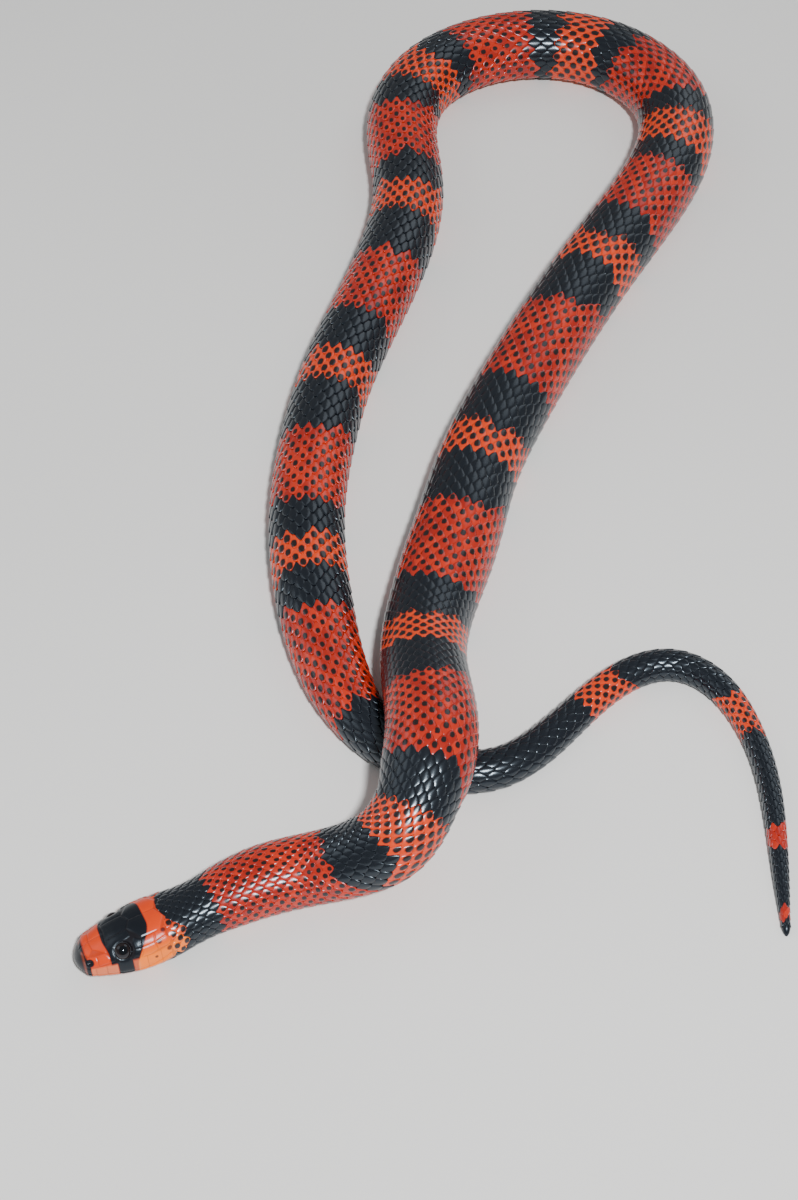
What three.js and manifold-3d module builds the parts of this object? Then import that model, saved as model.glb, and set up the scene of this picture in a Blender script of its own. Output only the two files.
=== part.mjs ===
// A milk snake at rest on the floor, life size, in millimetres with +Z up.
// The origin is on the floor under the middle of the snake's outline.
import * as THREE from "three";
import { mergeVertices } from "three/addons/utils/BufferGeometryUtils.js";
import Module from "manifold-3d";

const wasm = await Module();
wasm.setup();

// Resting line of the belly, nose first: right, away and lift above the floor.
// The curve is a uniform cubic B-spline, so it runs close by these points.
const LINE = [
  [-103, -179.5, 0], [-86.5, -174.5, 0], [-69.5, -168.5, 0], [-57, -161.5, 0], [-40, -152.5, 0],
  [-26, -149, 0], [-8, -149.5, 7], [-0.5, -135, 14], [2.5, -116, 14.5], [-1.5, -89.5, 5],
  [1, -66.5, 0], [10, -37.5, 0], [15, -12, 0], [27.5, 17.5, 0], [40.5, 45.5, 0],
  [55, 74, 0], [71, 101, 0], [86, 131, 0], [87, 162, 0], [63, 188, 0],
  [27, 190, 0], [-1, 171, 0], [-8, 143, 0], [-3, 116, 0], [-5, 92, 0],
  [-14, 61, 0], [-26, 28, 0], [-32, -6, 0], [-34, -34, 0], [-31, -61, 0],
  [-26, -84, 0], [-17, -104, 0], [0, -118, 0], [20, -119, 0], [35, -105, 0],
  [49.5, -87.5, 0], [67, -78.5, 0], [82.5, -89.5, 0], [90, -114.5, 0], [90, -139.5, 0],
  [89, -165.5, 0], [90, -190, 0],
];

// Girth: distance from the nose, half width, height of the back and squareness of the back.
const GIRTH = [
  [0, 4.6, 6.6, 2.5], [3, 5.8, 7.9, 2.6], [6.5, 6.9, 9.1, 2.6], [11, 8.1, 10.7, 2.6],
  [15.5, 8.9, 11.5, 2.6], [20, 9.2, 11.9, 2.5], [24, 9.2, 12.1, 2.4], [28.5, 8.5, 12.3, 2.2],
  [33, 8.2, 12.6, 2.15], [42, 9.1, 14, 2.1], [52, 9.6, 14.9, 2.1], [64, 9.5, 15.2, 2.1],
  [75, 9.7, 15.8, 2.1], [86, 10.4, 17.1, 2.1], [97, 10.5, 17.7, 2.1], [106, 11.9, 19.3, 2.1],
  [114, 12.2, 19.8, 2.1], [142, 11.7, 19.5, 2.1], [166, 12, 19.9, 2.1], [192, 12.8, 20.5, 2.1],
  [225, 12.4, 20.2, 2.1], [330, 12.6, 20.2, 2.1], [440, 12.6, 20.2, 2.1], [571, 11.6, 18.8, 2.1],
  [686, 11.1, 17.6, 2.1], [746, 10.8, 16, 2.1], [773, 9.6, 13.2, 2.1], [792, 7.8, 11.1, 2.1],
  [811, 6.4, 10.1, 2.1], [829, 5.9, 9.6, 2.1], [846, 5.3, 8.9, 2.1], [868, 4.75, 8.1, 2.1],
  [885, 4.7, 8, 2.1], [904, 4.3, 7.4, 2.1], [928, 3.4, 5.9, 2.1], [951, 2.9, 5, 2.1],
  [969, 2.3, 3.9, 2.1], [984, 1.3, 2.4, 2.1],
];

const MIDDLE = new THREE.Vector2(5.8, 10.8);
const GAP = 0.3;
const NOSE_ROUND = 3.6;
const NOSE_HEIGHT = 3.9;
const TAIL_ROUND = 2.6;
const CHIN_RISE = 1.5;
const CHIN_LENGTH = 18;
const WIDEST_AT = 0.42;
const BELLY_SQUARE = 2.5;
const BELLY_PRESS = 1.08;
const HEAD_LENGTH = 29.5;
const HEAD_ROLL = THREE.MathUtils.degToRad(15);
const ROLL_ENDS = 76;
const ROLL_PIVOT = 5;
const ROLL_PRESS = 0.3;

// Fineness of the solids: spacing and sides of the rings, and the turns of the rounded ends in degrees.
const RING_STEP = 7;
const BODY_SIDES = 24;
const HEAD_SIDES = 36;
const HEAD_RINGS = 20;
const JAW_STEPS = 24;
const FLOOR_SIDES = 72;
const NOSE_TURNS = [18, 36, 54, 72];
const TAIL_TURNS = [0, 25, 50, 70];
const SOCKET_SIDES = 28;
const NOSTRIL_SIDES = 12;
const EYE_SIDES = 20;
const EYE_RINGS = 14;

// The line of the mouth: distance from the nose and height above the throat.
const MOUTH = [[-2, 2.8], [2.4, 2.8], [7.6, 2.7], [11.8, 2.5], [16, 2.9], [19.7, 4], [21.8, 5]];
const JAW_REAR = [23.9, -4];
const CUT_REACH = 12;

const EYE_RADIUS = 2.2;
const EYE_FROM_NOSE = 11.6;
const EYE_BULGE = 0.6;
const EYE_ANGLE = THREE.MathUtils.degToRad(40);
const NOSTRIL_RADIUS = 0.55;
const NOSTRIL_FROM_NOSE = 3.2;
const NOSTRIL_ANGLE = THREE.MathUtils.degToRad(30);

// Head shields stand this far out of the head, with a groove round each.
const SHIELD_RISE = 0.25;
const GROOVE = 0.3;
const GROOVE_SHARE = 0.75;
const CROWN_CUT = [6, 14];

// Shields of the crown on the left side: outline as distance from the nose and from the middle.
const CROWN_SHIELDS = {
  internasal: [[1.5, 0], [4.1, 0], [4.5, 3], [3.2, 4.2], [1.8, 2.1]],
  prefrontal: [[4.1, 0], [8.1, 0], [7.9, 2.8], [7.5, 5.6], [4.5, 3]],
  supraocular: [[7.9, 2.8], [13.6, 2.6], [14, 4.9], [11.6, 5.2], [8.8, 5.3]],
  parietal: [[14.8, 0], [21.6, 0], [23, 3], [21, 6.2], [16.1, 6.1], [13.6, 2.6]],
};
const FRONTAL = [[8.1, 0], [7.9, 2.8], [13.6, 2.6], [14.8, 0]];

// Edges between the shields of the upper lip, as distances from the nose.
const LIP_EDGES = [2, 4.3, 6.8, 9.7, 12.9, 16.2, 19.4, 21.9];
const LIP_TOP = [[0, 4.4], [5.5, 5.1], [9.7, 5], [12.9, 4.8], [17.1, 6.3], [22.3, 7.4]];
const LOWER_LIP_DEPTH = 1.6;
const LIP_INSIDE = 1.5;
const LIP_MARGIN = 0.1;

// The lengths of body and tail, each with the distance from the nose where it ends.
const LENGTHS = [
  ["neck", 94], ["body_01", 175], ["body_02", 265], ["body_03", 355], ["body_04", 425],
  ["body_05", 495], ["body_06", 581], ["body_07", 665], ["body_08", 741], ["body_09", 793],
  ["tail_01", 859], ["tail_02", 917], ["tail_03", Infinity],
];

class BellyLine extends THREE.Curve {
  constructor(points) {
    super();
    this.points = points.map(([x, y, z]) => new THREE.Vector3(x - MIDDLE.x, y - MIDDLE.y, z));
    this.arcLengthDivisions = 4000;
  }

  getPoint(t, target = new THREE.Vector3()) {
    const spans = this.points.length - 3;
    const first = Math.min(Math.floor(t * spans), spans - 1);
    const u = t * spans - first;
    const blend = [
      (1 - u) ** 3, 3 * u ** 3 - 6 * u ** 2 + 4, -3 * u ** 3 + 3 * u ** 2 + 3 * u + 1, u ** 3,
    ];
    target.set(0, 0, 0);
    blend.forEach((weight, i) => target.addScaledVector(this.points[first + i], weight / 6));
    return target;
  }
}


const belly = new BellyLine(LINE);
const TOTAL = belly.getLength();

// Value of one column of a table at a distance from the nose, on a smooth curve through its rows.
function along(table, column, s) {
  const last = table.length - 1;
  const row = Math.max(0, Math.min(last - 1, table.findIndex((entry) => entry[0] > s) - 1));
  if (s >= table[last][0]) return table[last][column];
  const slope = (i) => (table[i + 1][column] - table[i][column]) / (table[i + 1][0] - table[i][0]);
  const tangent = (i) => {
    if (i === 0) return slope(0);
    if (i === last) return slope(last - 1);
    const before = slope(i - 1);
    const after = slope(i);
    return before * after <= 0 ? 0 : (2 * before * after) / (before + after);
  };
  const span = table[row + 1][0] - table[row][0];
  const u = (s - table[row][0]) / span;
  const rise = u * u * (3 - 2 * u);
  return (
    table[row][column] * (1 - rise) + table[row + 1][column] * rise +
    span * (tangent(row) * (u ** 3 - 2 * u ** 2 + u) + tangent(row + 1) * (u ** 3 - u ** 2))
  );
}

// Half width, underside, widest height and back of the section at a distance from the nose.
function form(s) {
  const nose = Math.sqrt(1 - (1 - Math.min(s / NOSE_ROUND, 1)) ** 2);
  const toTip = Math.min((TOTAL - s) / TAIL_ROUND, 1);
  const end = Math.sqrt(Math.max(0, 1 - (1 - toTip) ** 2));
  const half = along(GIRTH, 1, s) * nose * end;
  const crown = along(GIRTH, 2, s);
  const chin = CHIN_RISE * (1 - Math.min(s / CHIN_LENGTH, 1)) ** 1.5;
  const nearNose = 1 - THREE.MathUtils.smoothstep(s, 0, HEAD_LENGTH);
  const widest = THREE.MathUtils.lerp(crown * WIDEST_AT, NOSE_HEIGHT, nearNose);
  return {
    half,
    square: along(GIRTH, 3, s),
    widest: widest * end,
    crown: (widest + (crown - widest) * nose) * end,
    under: (widest - (widest - chin) * nose) * end,
    roll: HEAD_ROLL * (1 - THREE.MathUtils.smoothstep(s, HEAD_LENGTH, ROLL_ENDS)),
  };
}

const bend = (value, power) => Math.sign(value) * Math.abs(value) ** power;

// Point of the section outline, left and up, at an angle that starts at the left side.
function outline(f, angle, grow = 0) {
  const side = Math.cos(angle);
  const rise = Math.sin(angle);
  const power = 2 / (rise > 0 ? f.square : BELLY_SQUARE);
  const left = (f.half + grow) * bend(side, power);
  if (rise > 0) return [left, f.widest + (f.crown - f.widest + grow) * bend(rise, power)];
  const deep = f.widest + (f.widest - f.under) * BELLY_PRESS * bend(rise, power);
  return [left, Math.max(deep, f.under) - grow * Math.abs(rise)];
}

function rolled([left, up], roll) {
  return [
    left * Math.cos(roll) - (up - ROLL_PIVOT) * Math.sin(roll),
    ROLL_PIVOT + left * Math.sin(roll) + (up - ROLL_PIVOT) * Math.cos(roll),
  ];
}

// Height of the lowest point of a rolled section, which rests on the floor.
function lowest(s) {
  const f = form(Math.max(s, HEAD_LENGTH));
  let low = Infinity;
  for (let i = 0; i < FLOOR_SIDES; i += 1) {
    low = Math.min(low, rolled(outline(f, (2 * Math.PI * i) / FLOOR_SIDES), f.roll)[1]);
  }
  return low + (ROLL_PRESS * f.roll) / HEAD_ROLL;
}

// Place and directions of the section at a distance from the nose.
function station(s) {
  const t = belly.getUtoTmapping(THREE.MathUtils.clamp(s / TOTAL, 0, 1));
  const back = belly.getTangent(t);
  const left = new THREE.Vector3().crossVectors(back, new THREE.Vector3(0, 0, 1)).normalize();
  return { place: belly.getPoint(t), back, left, up: new THREE.Vector3().crossVectors(left, back) };
}

function ring(s, sides, grow = 0) {
  const f = form(s);
  const at = station(s);
  const low = lowest(s);
  return Array.from({ length: sides }, (_, i) => {
    const [left, up] = rolled(outline(f, (2 * Math.PI * i) / sides, grow), f.roll);
    const height = Math.max(up - low, 0);
    return at.place.clone().addScaledVector(at.left, left).addScaledVector(at.up, height);
  });
}

// Closed body through rings of points, with a fan on each end.
function loft(rings) {
  const sides = rings[0].length;
  const points = rings.flat();
  const faces = [];
  for (let r = 0; r + 1 < rings.length; r += 1) {
    for (let i = 0; i < sides; i += 1) {
      const a = r * sides + i;
      const b = r * sides + ((i + 1) % sides);
      faces.push(a, a + sides, b, b, a + sides, b + sides);
    }
  }
  for (const [first, turn] of [[0, 1], [(rings.length - 1) * sides, -1]]) {
    const centre = new THREE.Vector3();
    for (let i = 0; i < sides; i += 1) centre.addScaledVector(points[first + i], 1 / sides);
    points.push(centre);
    for (let i = 0; i < sides; i += 1) {
      const a = first + i;
      const b = first + ((i + 1) % sides);
      faces.push(...(turn > 0 ? [points.length - 1, a, b] : [points.length - 1, b, a]));
    }
  }
  const geometry = new THREE.BufferGeometry().setFromPoints(points);
  geometry.setIndex(faces);
  return geometry;
}

function lengthOfBody(from, to) {
  const steps = Math.max(2, Math.round((to - from) / RING_STEP));
  const rings = [];
  for (let i = 0; i <= steps; i += 1) rings.push(ring(from + ((to - from) * i) / steps, BODY_SIDES));
  return loft(rings);
}

function tailEnd(from) {
  const rings = [];
  const steps = Math.round((TOTAL - TAIL_ROUND - from) / RING_STEP);
  for (let i = 0; i < steps; i += 1) {
    rings.push(ring(from + ((TOTAL - TAIL_ROUND - from) * i) / steps, BODY_SIDES));
  }
  for (const turn of TAIL_TURNS) {
    const reach = Math.sin(THREE.MathUtils.degToRad(turn));
    rings.push(ring(TOTAL - TAIL_ROUND * (1 - reach), BODY_SIDES));
  }
  return loft(rings);
}

function headForm(grow = 0, to = HEAD_LENGTH - GAP / 2) {
  const rings = [];
  for (const turn of NOSE_TURNS) {
    const reach = 1 - Math.cos(THREE.MathUtils.degToRad(turn));
    rings.push(ring(NOSE_ROUND * reach, HEAD_SIDES, grow));
  }
  for (let i = 0; i <= HEAD_RINGS; i += 1) {
    rings.push(ring(NOSE_ROUND + ((to - NOSE_ROUND) * i) / HEAD_RINGS, HEAD_SIDES, grow));
  }
  return loft(rings);
}

// Solid from a closed geometry, and the geometry of a solid's largest body.
function solid(geometry) {
  const bare = geometry.clone();
  bare.deleteAttribute("normal");
  bare.deleteAttribute("uv");
  const merged = mergeVertices(bare, 1e-4);
  return new wasm.Manifold(new wasm.Mesh({
    numProp: 3,
    vertProperties: new Float32Array(merged.attributes.position.array),
    triVerts: new Uint32Array(merged.index.array),
  }));
}

function geometryOf(body) {
  const largest = body.decompose().sort((a, b) => b.volume() - a.volume())[0];
  const mesh = largest.getMesh();
  const geometry = new THREE.BufferGeometry();
  geometry.setAttribute("position", new THREE.BufferAttribute(new Float32Array(mesh.vertProperties), 3));
  geometry.setIndex(new THREE.BufferAttribute(new Uint32Array(mesh.triVerts), 1));
  return geometry;
}

// Frame of the head: X towards the nose, Y to the snake's left, Z up, with the nose at X = 0.
function headFrame() {
  const at = station(0);
  const forward = at.back.clone().negate();
  return new THREE.Matrix4()
    .makeBasis(forward, at.left, at.up).setPosition(at.place)
    .multiply(new THREE.Matrix4().makeTranslation(0, 0, ROLL_PIVOT - lowest(0)))
    .multiply(new THREE.Matrix4().makeRotationX(HEAD_ROLL))
    .multiply(new THREE.Matrix4().makeTranslation(0, 0, -ROLL_PIVOT));
}

const HEAD_FRAME = headFrame();

// Prism across the head from an outline of distances from the nose and heights.
function acrossHead(outlinePoints, from, to) {
  const shape = new THREE.Shape(outlinePoints.map(([s, up]) => new THREE.Vector2(-s, up)));
  const prism = new THREE.ExtrudeGeometry(shape, { depth: to - from, bevelEnabled: false });
  prism.rotateX(Math.PI / 2).translate(0, to, 0);
  return solid(prism.applyMatrix4(HEAD_FRAME));
}

// Prism down through the head from an outline of distances from the nose and from the middle.
function downHead(outlinePoints, low, high) {
  const shape = new THREE.Shape(outlinePoints.map(([s, left]) => new THREE.Vector2(-s, left)));
  const prism = new THREE.ExtrudeGeometry(shape, { depth: high - low, bevelEnabled: false });
  return solid(prism.translate(0, 0, low).applyMatrix4(HEAD_FRAME));
}

// Space of the lower jaw under the line of the mouth, grown by a gap.
function jawSpace(gap) {
  const first = MOUTH[0][0];
  const last = MOUTH[MOUTH.length - 1][0];
  const edge = Array.from({ length: JAW_STEPS + 1 }, (_, i) => {
    const s = first + ((last - first) * i) / JAW_STEPS;
    return [s + (gap * i) / JAW_STEPS, along(MOUTH, 1, s) + gap];
  });
  const below = [[JAW_REAR[0] + gap, JAW_REAR[1]], [first, JAW_REAR[1]]];
  return acrossHead([...edge, ...below], -CUT_REACH, CUT_REACH);
}

// Point of the head's surface and its outward direction, in the frame of the head.
function headSurface(s, angle, side) {
  const at = (a) => outline(form(s), a);
  const [left, up] = at(angle);
  const [nextLeft, nextUp] = at(angle + 0.02);
  const out = new THREE.Vector3(0, nextUp - up, left - nextLeft).normalize();
  out.y *= side;
  return { point: new THREE.Vector3(-s, side * left, up), out };
}

function eyeCentre(side) {
  const { point, out } = headSurface(EYE_FROM_NOSE, EYE_ANGLE, side);
  return point.addScaledVector(out, EYE_BULGE - EYE_RADIUS).applyMatrix4(HEAD_FRAME);
}

function ball(centre, radius, rounds) {
  return new THREE.SphereGeometry(radius, rounds, rounds / 2).translate(centre.x, centre.y, centre.z);
}

function shieldInset(points) {
  const shape = points.map(([s, left]) => new THREE.Vector2(s, left));
  const middle = shape.reduce((sum, p) => sum.add(p), new THREE.Vector2()).divideScalar(shape.length);
  return shape.map((p) => {
    const inward = middle.clone().sub(p);
    const reach = inward.length();
    return p.addScaledVector(inward, (GROOVE * GROOVE_SHARE) / reach).toArray();
  });
}

// One lip on both sides, as raised patches between its edges, from a lower and an upper height.
function lipShields(shell, low, high) {
  const plates = [];
  for (let i = 0; i + 1 < LIP_EDGES.length; i += 1) {
    const [a, b] = [LIP_EDGES[i] + GROOVE / 2, LIP_EDGES[i + 1] - GROOVE / 2];
    const lip = [[a, low(a)], [b, low(b)], [b, high(b)], [a, high(a)]];
    plates.push(shell.intersect(acrossHead(lip, LIP_INSIDE, CUT_REACH)));
    plates.push(shell.intersect(acrossHead(lip, -CUT_REACH, -LIP_INSIDE)));
  }
  return plates;
}

// Shields of the crown and the upper lip, as raised patches of the head's own surface.
function shields() {
  const shell = solid(headForm(SHIELD_RISE));
  const mirrored = (points) => points.map(([s, left]) => [s, -left]);
  const outlines = [[...FRONTAL, ...mirrored(FRONTAL).slice(1, 3).reverse()]];
  for (const points of Object.values(CROWN_SHIELDS)) outlines.push(points, mirrored(points));
  const plates = outlines.map((points) => shell.intersect(downHead(shieldInset(points), ...CROWN_CUT)));
  const edge = (s) => along(MOUTH, 1, s) + GAP + LIP_MARGIN;
  return [...plates, ...lipShields(shell, edge, (s) => along(LIP_TOP, 1, s))];
}

function head() {
  let body = solid(headForm());
  for (const plate of shields()) body = body.add(plate);
  body = body.subtract(jawSpace(GAP));
  for (const side of [1, -1]) {
    body = body.subtract(solid(ball(eyeCentre(side), EYE_RADIUS + GAP, SOCKET_SIDES)));
    const nostril = headSurface(NOSTRIL_FROM_NOSE, NOSTRIL_ANGLE, side).point.applyMatrix4(HEAD_FRAME);
    body = body.subtract(solid(ball(nostril, NOSTRIL_RADIUS, NOSTRIL_SIDES)));
  }
  return geometryOf(body);
}

function lowerJaw() {
  const edge = (s) => along(MOUTH, 1, s) - LIP_MARGIN;
  let jaw = solid(headForm()).intersect(jawSpace(0));
  for (const plate of lipShields(solid(headForm(SHIELD_RISE)), (s) => edge(s) - LOWER_LIP_DEPTH, edge)) {
    jaw = jaw.add(plate);
  }
  return geometryOf(jaw);
}

function skin(name, colour, geometry) {
  const material = new THREE.MeshStandardMaterial({ color: colour, roughness: 0.35, metalness: 0 });
  const mesh = new THREE.Mesh(geometry, material);
  mesh.name = name;
  return mesh;
}

const snake = new THREE.Group();
snake.add(skin("head", 0x1c1a16, head()));
snake.add(skin("lower_jaw", 0xd8783c, lowerJaw()));
for (const [name, side] of [["eye_left", 1], ["eye_right", -1]]) {
  const eye = skin(name, 0x0c0c10, new THREE.SphereGeometry(EYE_RADIUS, EYE_SIDES, EYE_RINGS));
  eye.material.roughness = 0.08;
  eye.position.copy(eyeCentre(side));
  snake.add(eye);
}
let from = HEAD_LENGTH + GAP / 2;
for (const [name, end] of LENGTHS) {
  const colour = name.startsWith("tail") ? 0x1b1c22 : 0xa8341a;
  const geometry = end < TOTAL ? lengthOfBody(from, end - GAP / 2) : tailEnd(from);
  snake.add(skin(name, colour, geometry));
  from = end + GAP / 2;
}

export default snake;
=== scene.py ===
"""A milk snake at rest, life size, with one skin, separate eyes, and every scale modelled.

Tables of the body are in millimetres, as distances from the nose. Meshes are made in metres.
"""

import bpy
import numpy as np
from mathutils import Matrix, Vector


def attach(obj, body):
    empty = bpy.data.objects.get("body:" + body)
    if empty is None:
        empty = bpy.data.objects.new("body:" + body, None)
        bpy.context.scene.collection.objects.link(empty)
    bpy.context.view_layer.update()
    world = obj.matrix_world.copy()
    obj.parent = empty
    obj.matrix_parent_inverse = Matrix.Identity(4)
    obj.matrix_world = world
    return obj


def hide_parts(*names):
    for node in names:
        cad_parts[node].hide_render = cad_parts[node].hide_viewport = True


bl_info = {
    "name": "Milk Snake",
    "version": (1, 0, 0),
    "blender": (4, 5, 0),
    "location": "View3D > Sidebar > Milk Snake",
    "description": "Builds a life-size milk snake with its skin, eyes, scales and a plain stage",
    "category": "Add Mesh",
}

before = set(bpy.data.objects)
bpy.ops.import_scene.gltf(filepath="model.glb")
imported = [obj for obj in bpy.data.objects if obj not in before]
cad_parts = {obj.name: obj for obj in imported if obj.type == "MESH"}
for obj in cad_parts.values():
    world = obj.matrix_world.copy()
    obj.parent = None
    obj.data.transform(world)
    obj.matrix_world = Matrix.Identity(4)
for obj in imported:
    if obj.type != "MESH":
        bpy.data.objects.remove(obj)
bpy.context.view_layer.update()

MM = 0.001

# Resting line of the belly, nose first: right, away and lift above the floor.
LINE = np.array([
    (-103, -179.5, 0), (-86.5, -174.5, 0), (-69.5, -168.5, 0), (-57, -161.5, 0), (-40, -152.5, 0),
    (-26, -149, 0), (-8, -149.5, 7), (-0.5, -135, 14), (2.5, -116, 14.5), (-1.5, -89.5, 5),
    (1, -66.5, 0), (10, -37.5, 0), (15, -12, 0), (27.5, 17.5, 0), (40.5, 45.5, 0),
    (55, 74, 0), (71, 101, 0), (86, 131, 0), (87, 162, 0), (63, 188, 0),
    (27, 190, 0), (-1, 171, 0), (-8, 143, 0), (-3, 116, 0), (-5, 92, 0),
    (-14, 61, 0), (-26, 28, 0), (-32, -6, 0), (-34, -34, 0), (-31, -61, 0),
    (-26, -84, 0), (-17, -104, 0), (0, -118, 0), (20, -119, 0), (35, -105, 0),
    (49.5, -87.5, 0), (67, -78.5, 0), (82.5, -89.5, 0), (90, -114.5, 0), (90, -139.5, 0),
    (89, -165.5, 0), (90, -190, 0),
])
MIDDLE = np.array([5.8, 10.8, 0.0])

# Girth: distance from the nose, half width, height of the back and squareness of the back.
GIRTH = np.array([
    (0, 4.6, 6.6, 2.5), (3, 5.8, 7.9, 2.6), (6.5, 6.9, 9.1, 2.6), (11, 8.1, 10.7, 2.6),
    (15.5, 8.9, 11.5, 2.6), (20, 9.2, 11.9, 2.5), (24, 9.2, 12.1, 2.4), (28.5, 8.5, 12.3, 2.2),
    (33, 8.2, 12.6, 2.15), (42, 9.1, 14, 2.1), (52, 9.6, 14.9, 2.1), (64, 9.5, 15.2, 2.1),
    (75, 9.7, 15.8, 2.1), (86, 10.4, 17.1, 2.1), (97, 10.5, 17.7, 2.1), (106, 11.9, 19.3, 2.1),
    (114, 12.2, 19.8, 2.1), (142, 11.7, 19.5, 2.1), (166, 12, 19.9, 2.1), (192, 12.8, 20.5, 2.1),
    (225, 12.4, 20.2, 2.1), (330, 12.6, 20.2, 2.1), (440, 12.6, 20.2, 2.1), (571, 11.6, 18.8, 2.1),
    (686, 11.1, 17.6, 2.1), (746, 10.8, 16, 2.1), (773, 9.6, 13.2, 2.1), (792, 7.8, 11.1, 2.1),
    (811, 6.4, 10.1, 2.1), (829, 5.9, 9.6, 2.1), (846, 5.3, 8.9, 2.1), (868, 4.75, 8.1, 2.1),
    (885, 4.7, 8, 2.1), (904, 4.3, 7.4, 2.1), (928, 3.4, 5.9, 2.1), (951, 2.9, 5, 2.1),
    (969, 2.3, 3.9, 2.1), (984, 1.3, 2.4, 2.1),
])
NOSE_ROUND = 3.6
NOSE_HEIGHT = 3.9
TAIL_ROUND = 2.6
CHIN_RISE = 1.5
CHIN_POWER = 1.5
CHIN_LENGTH = 18
WIDEST_AT = 0.42
BELLY_SQUARE = 2.5
BELLY_PRESS = 1.08
HEAD_LENGTH = 29.5
HEAD_ROLL = np.radians(15)
ROLL_ENDS = 76
ROLL_PIVOT = 5
ROLL_PRESS = 0.3
FLOOR_SIDES = 72

# The head: line of the mouth as distance from the nose and height above the throat.
MOUTH = np.array([(-2, 2.8), (2.4, 2.8), (7.6, 2.7), (11.8, 2.5), (16, 2.9), (19.7, 4), (21.8, 5)])
MOUTH_ENDS = 21.9
EYE_RADIUS = 2.2
EYE_FROM_NOSE = 11.6
EYE_BULGE = 0.6
EYE_ANGLE = np.radians(40)
EYE_OPENING = 1.65
EYE_RIM = 2.35
NOSTRIL_FROM_NOSE = 3.2
NOSTRIL_ANGLE = np.radians(30)
NOSTRIL_RADIUS = 0.55
SHIELD_RISE = 0.14
SHIELD_DOME = 0.05
DOME_WIDTH = 1.6
GROOVE = 0.22
SHIELDS_FADE = (22, 24.5)
MOUTH_DEPTH = 0.34
MOUTH_WIDTH = 0.3
MOUTH_FADE = 0.6
LIP_MARGIN = 0.12
NOSTRIL_DEPTH = 0.6
EYE_TUCK = 0.12
EYE_RINGS = 28
EYE_COLUMNS = 48
SMOOTH_ROUND_EYE = 0.6

# Shields seen from above, left side: distance from the nose and from the middle.
CROWN_SHIELDS = {
    "internasal": [(1.5, 0), (4.1, 0), (4.5, 3), (3.2, 4.2), (1.8, 2.1)],
    "prefrontal": [(4.1, 0), (8.1, 0), (7.9, 2.8), (7.5, 5.6), (4.5, 3)],
    "supraocular": [(7.9, 2.8), (13.6, 2.6), (14, 4.9), (11.6, 5.2), (8.8, 5.3)],
    "parietal": [(14.8, 0), (21.6, 0), (23, 3), (21, 6.2), (16.1, 6.1), (13.6, 2.6)],
}
FRONTAL = [(8.1, 0), (7.9, 2.8), (13.6, 2.6), (14.8, 0), (13.6, -2.6), (7.9, -2.8)]

# Shields seen from the side: distance from the nose and height.
SIDE_SHIELDS = {
    "front_nasal": [(2.1, 4.7), (3.2, 5), (3.3, 7.2), (2, 6.1)],
    "rear_nasal": [(3.2, 5), (5.2, 5.5), (5.1, 7.6), (3.3, 7.2)],
    "loreal": [(5.2, 5.5), (7.6, 6), (8.1, 7.2), (7.3, 8.2), (5.1, 7.6)],
    "preocular": [(7.6, 6), (9.1, 6.5), (9.6, 8.2), (9.1, 9.9), (7.6, 9), (8.1, 7.2)],
    "lower_postocular": [(13.4, 7), (15, 6.5), (15.6, 7.6), (15.3, 8.6), (13.9, 8.6)],
    "upper_postocular": [(13.9, 8.6), (15.3, 8.6), (15.9, 10.2), (14.5, 10.5), (13.8, 9.8)],
    "lower_temporal": [(15, 6.5), (17.2, 6.6), (19, 7.3), (18.8, 9), (15.3, 8.6), (15.6, 7.6)],
    "upper_temporal": [(15.3, 8.6), (18.8, 9), (19.3, 10.6), (15.9, 10.2)],
    "rear_lower_temporal": [(19, 7.3), (21.9, 7.6), (22.6, 8.8), (21.8, 9.6), (18.8, 9)],
    "rear_upper_temporal": [(18.8, 9), (21.8, 9.6), (22.2, 11), (19.3, 10.6)],
}
LIP_EDGES = [2, 4.3, 6.8, 9.7, 12.9, 16.2, 19.4, 21.9]
LIP_TOP = np.array([(0, 4.5), (5.2, 5.4), (9, 6.4), (10.5, 7), (13, 7), (15, 6.4), (17.1, 6.5), (22.3, 7.6)])
LOWER_LIP_DEPTH = 1.5

# Shields seen from below, left side: distance from the nose and from the middle.
CHIN_SHIELDS = {
    "first_chin": [(4, 0.1), (9.8, 0.1), (9.6, 2.6), (6, 2.9), (4.4, 1.8)],
    "second_chin": [(9.8, 0.1), (15, 0.5), (14.6, 2.9), (9.8, 2.7)],
}

# Bands of the head's pattern as distances from the nose, and the lip as shares of the way round.
SNOUT_BAND = (2.6, 7.2)
NOSTRIL_MARK = (3.1, 0.37)
NOSTRIL_MARK_SIZE = (1.15, 0.065)
CHEEK_BAND = (18.6, 22.5)
LIP_HEIGHTS = (0.46, 0.68)
FRONT_LIP = (3.2, 9.4)
REAR_LIP = (12.9, 14.4)
CHIN_BAND = (3.4, 19.5)
# Pale rim round the snout's tip: partly a pale edge of the rostral, partly a painted highlight along that
# edge.
NOSE_RIM_AND_HIGHLIGHT = (1.7, 2.2)
# Dark spots on the rear cheek: distance from the nose, share of the way round, and radius.
CHEEK_SPOTS = [(19.7, 0.36, 0.62), (21.4, 0.27, 0.6), (21.5, 0.46, 0.65), (18.2, 0.5, 0.4)]

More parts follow.
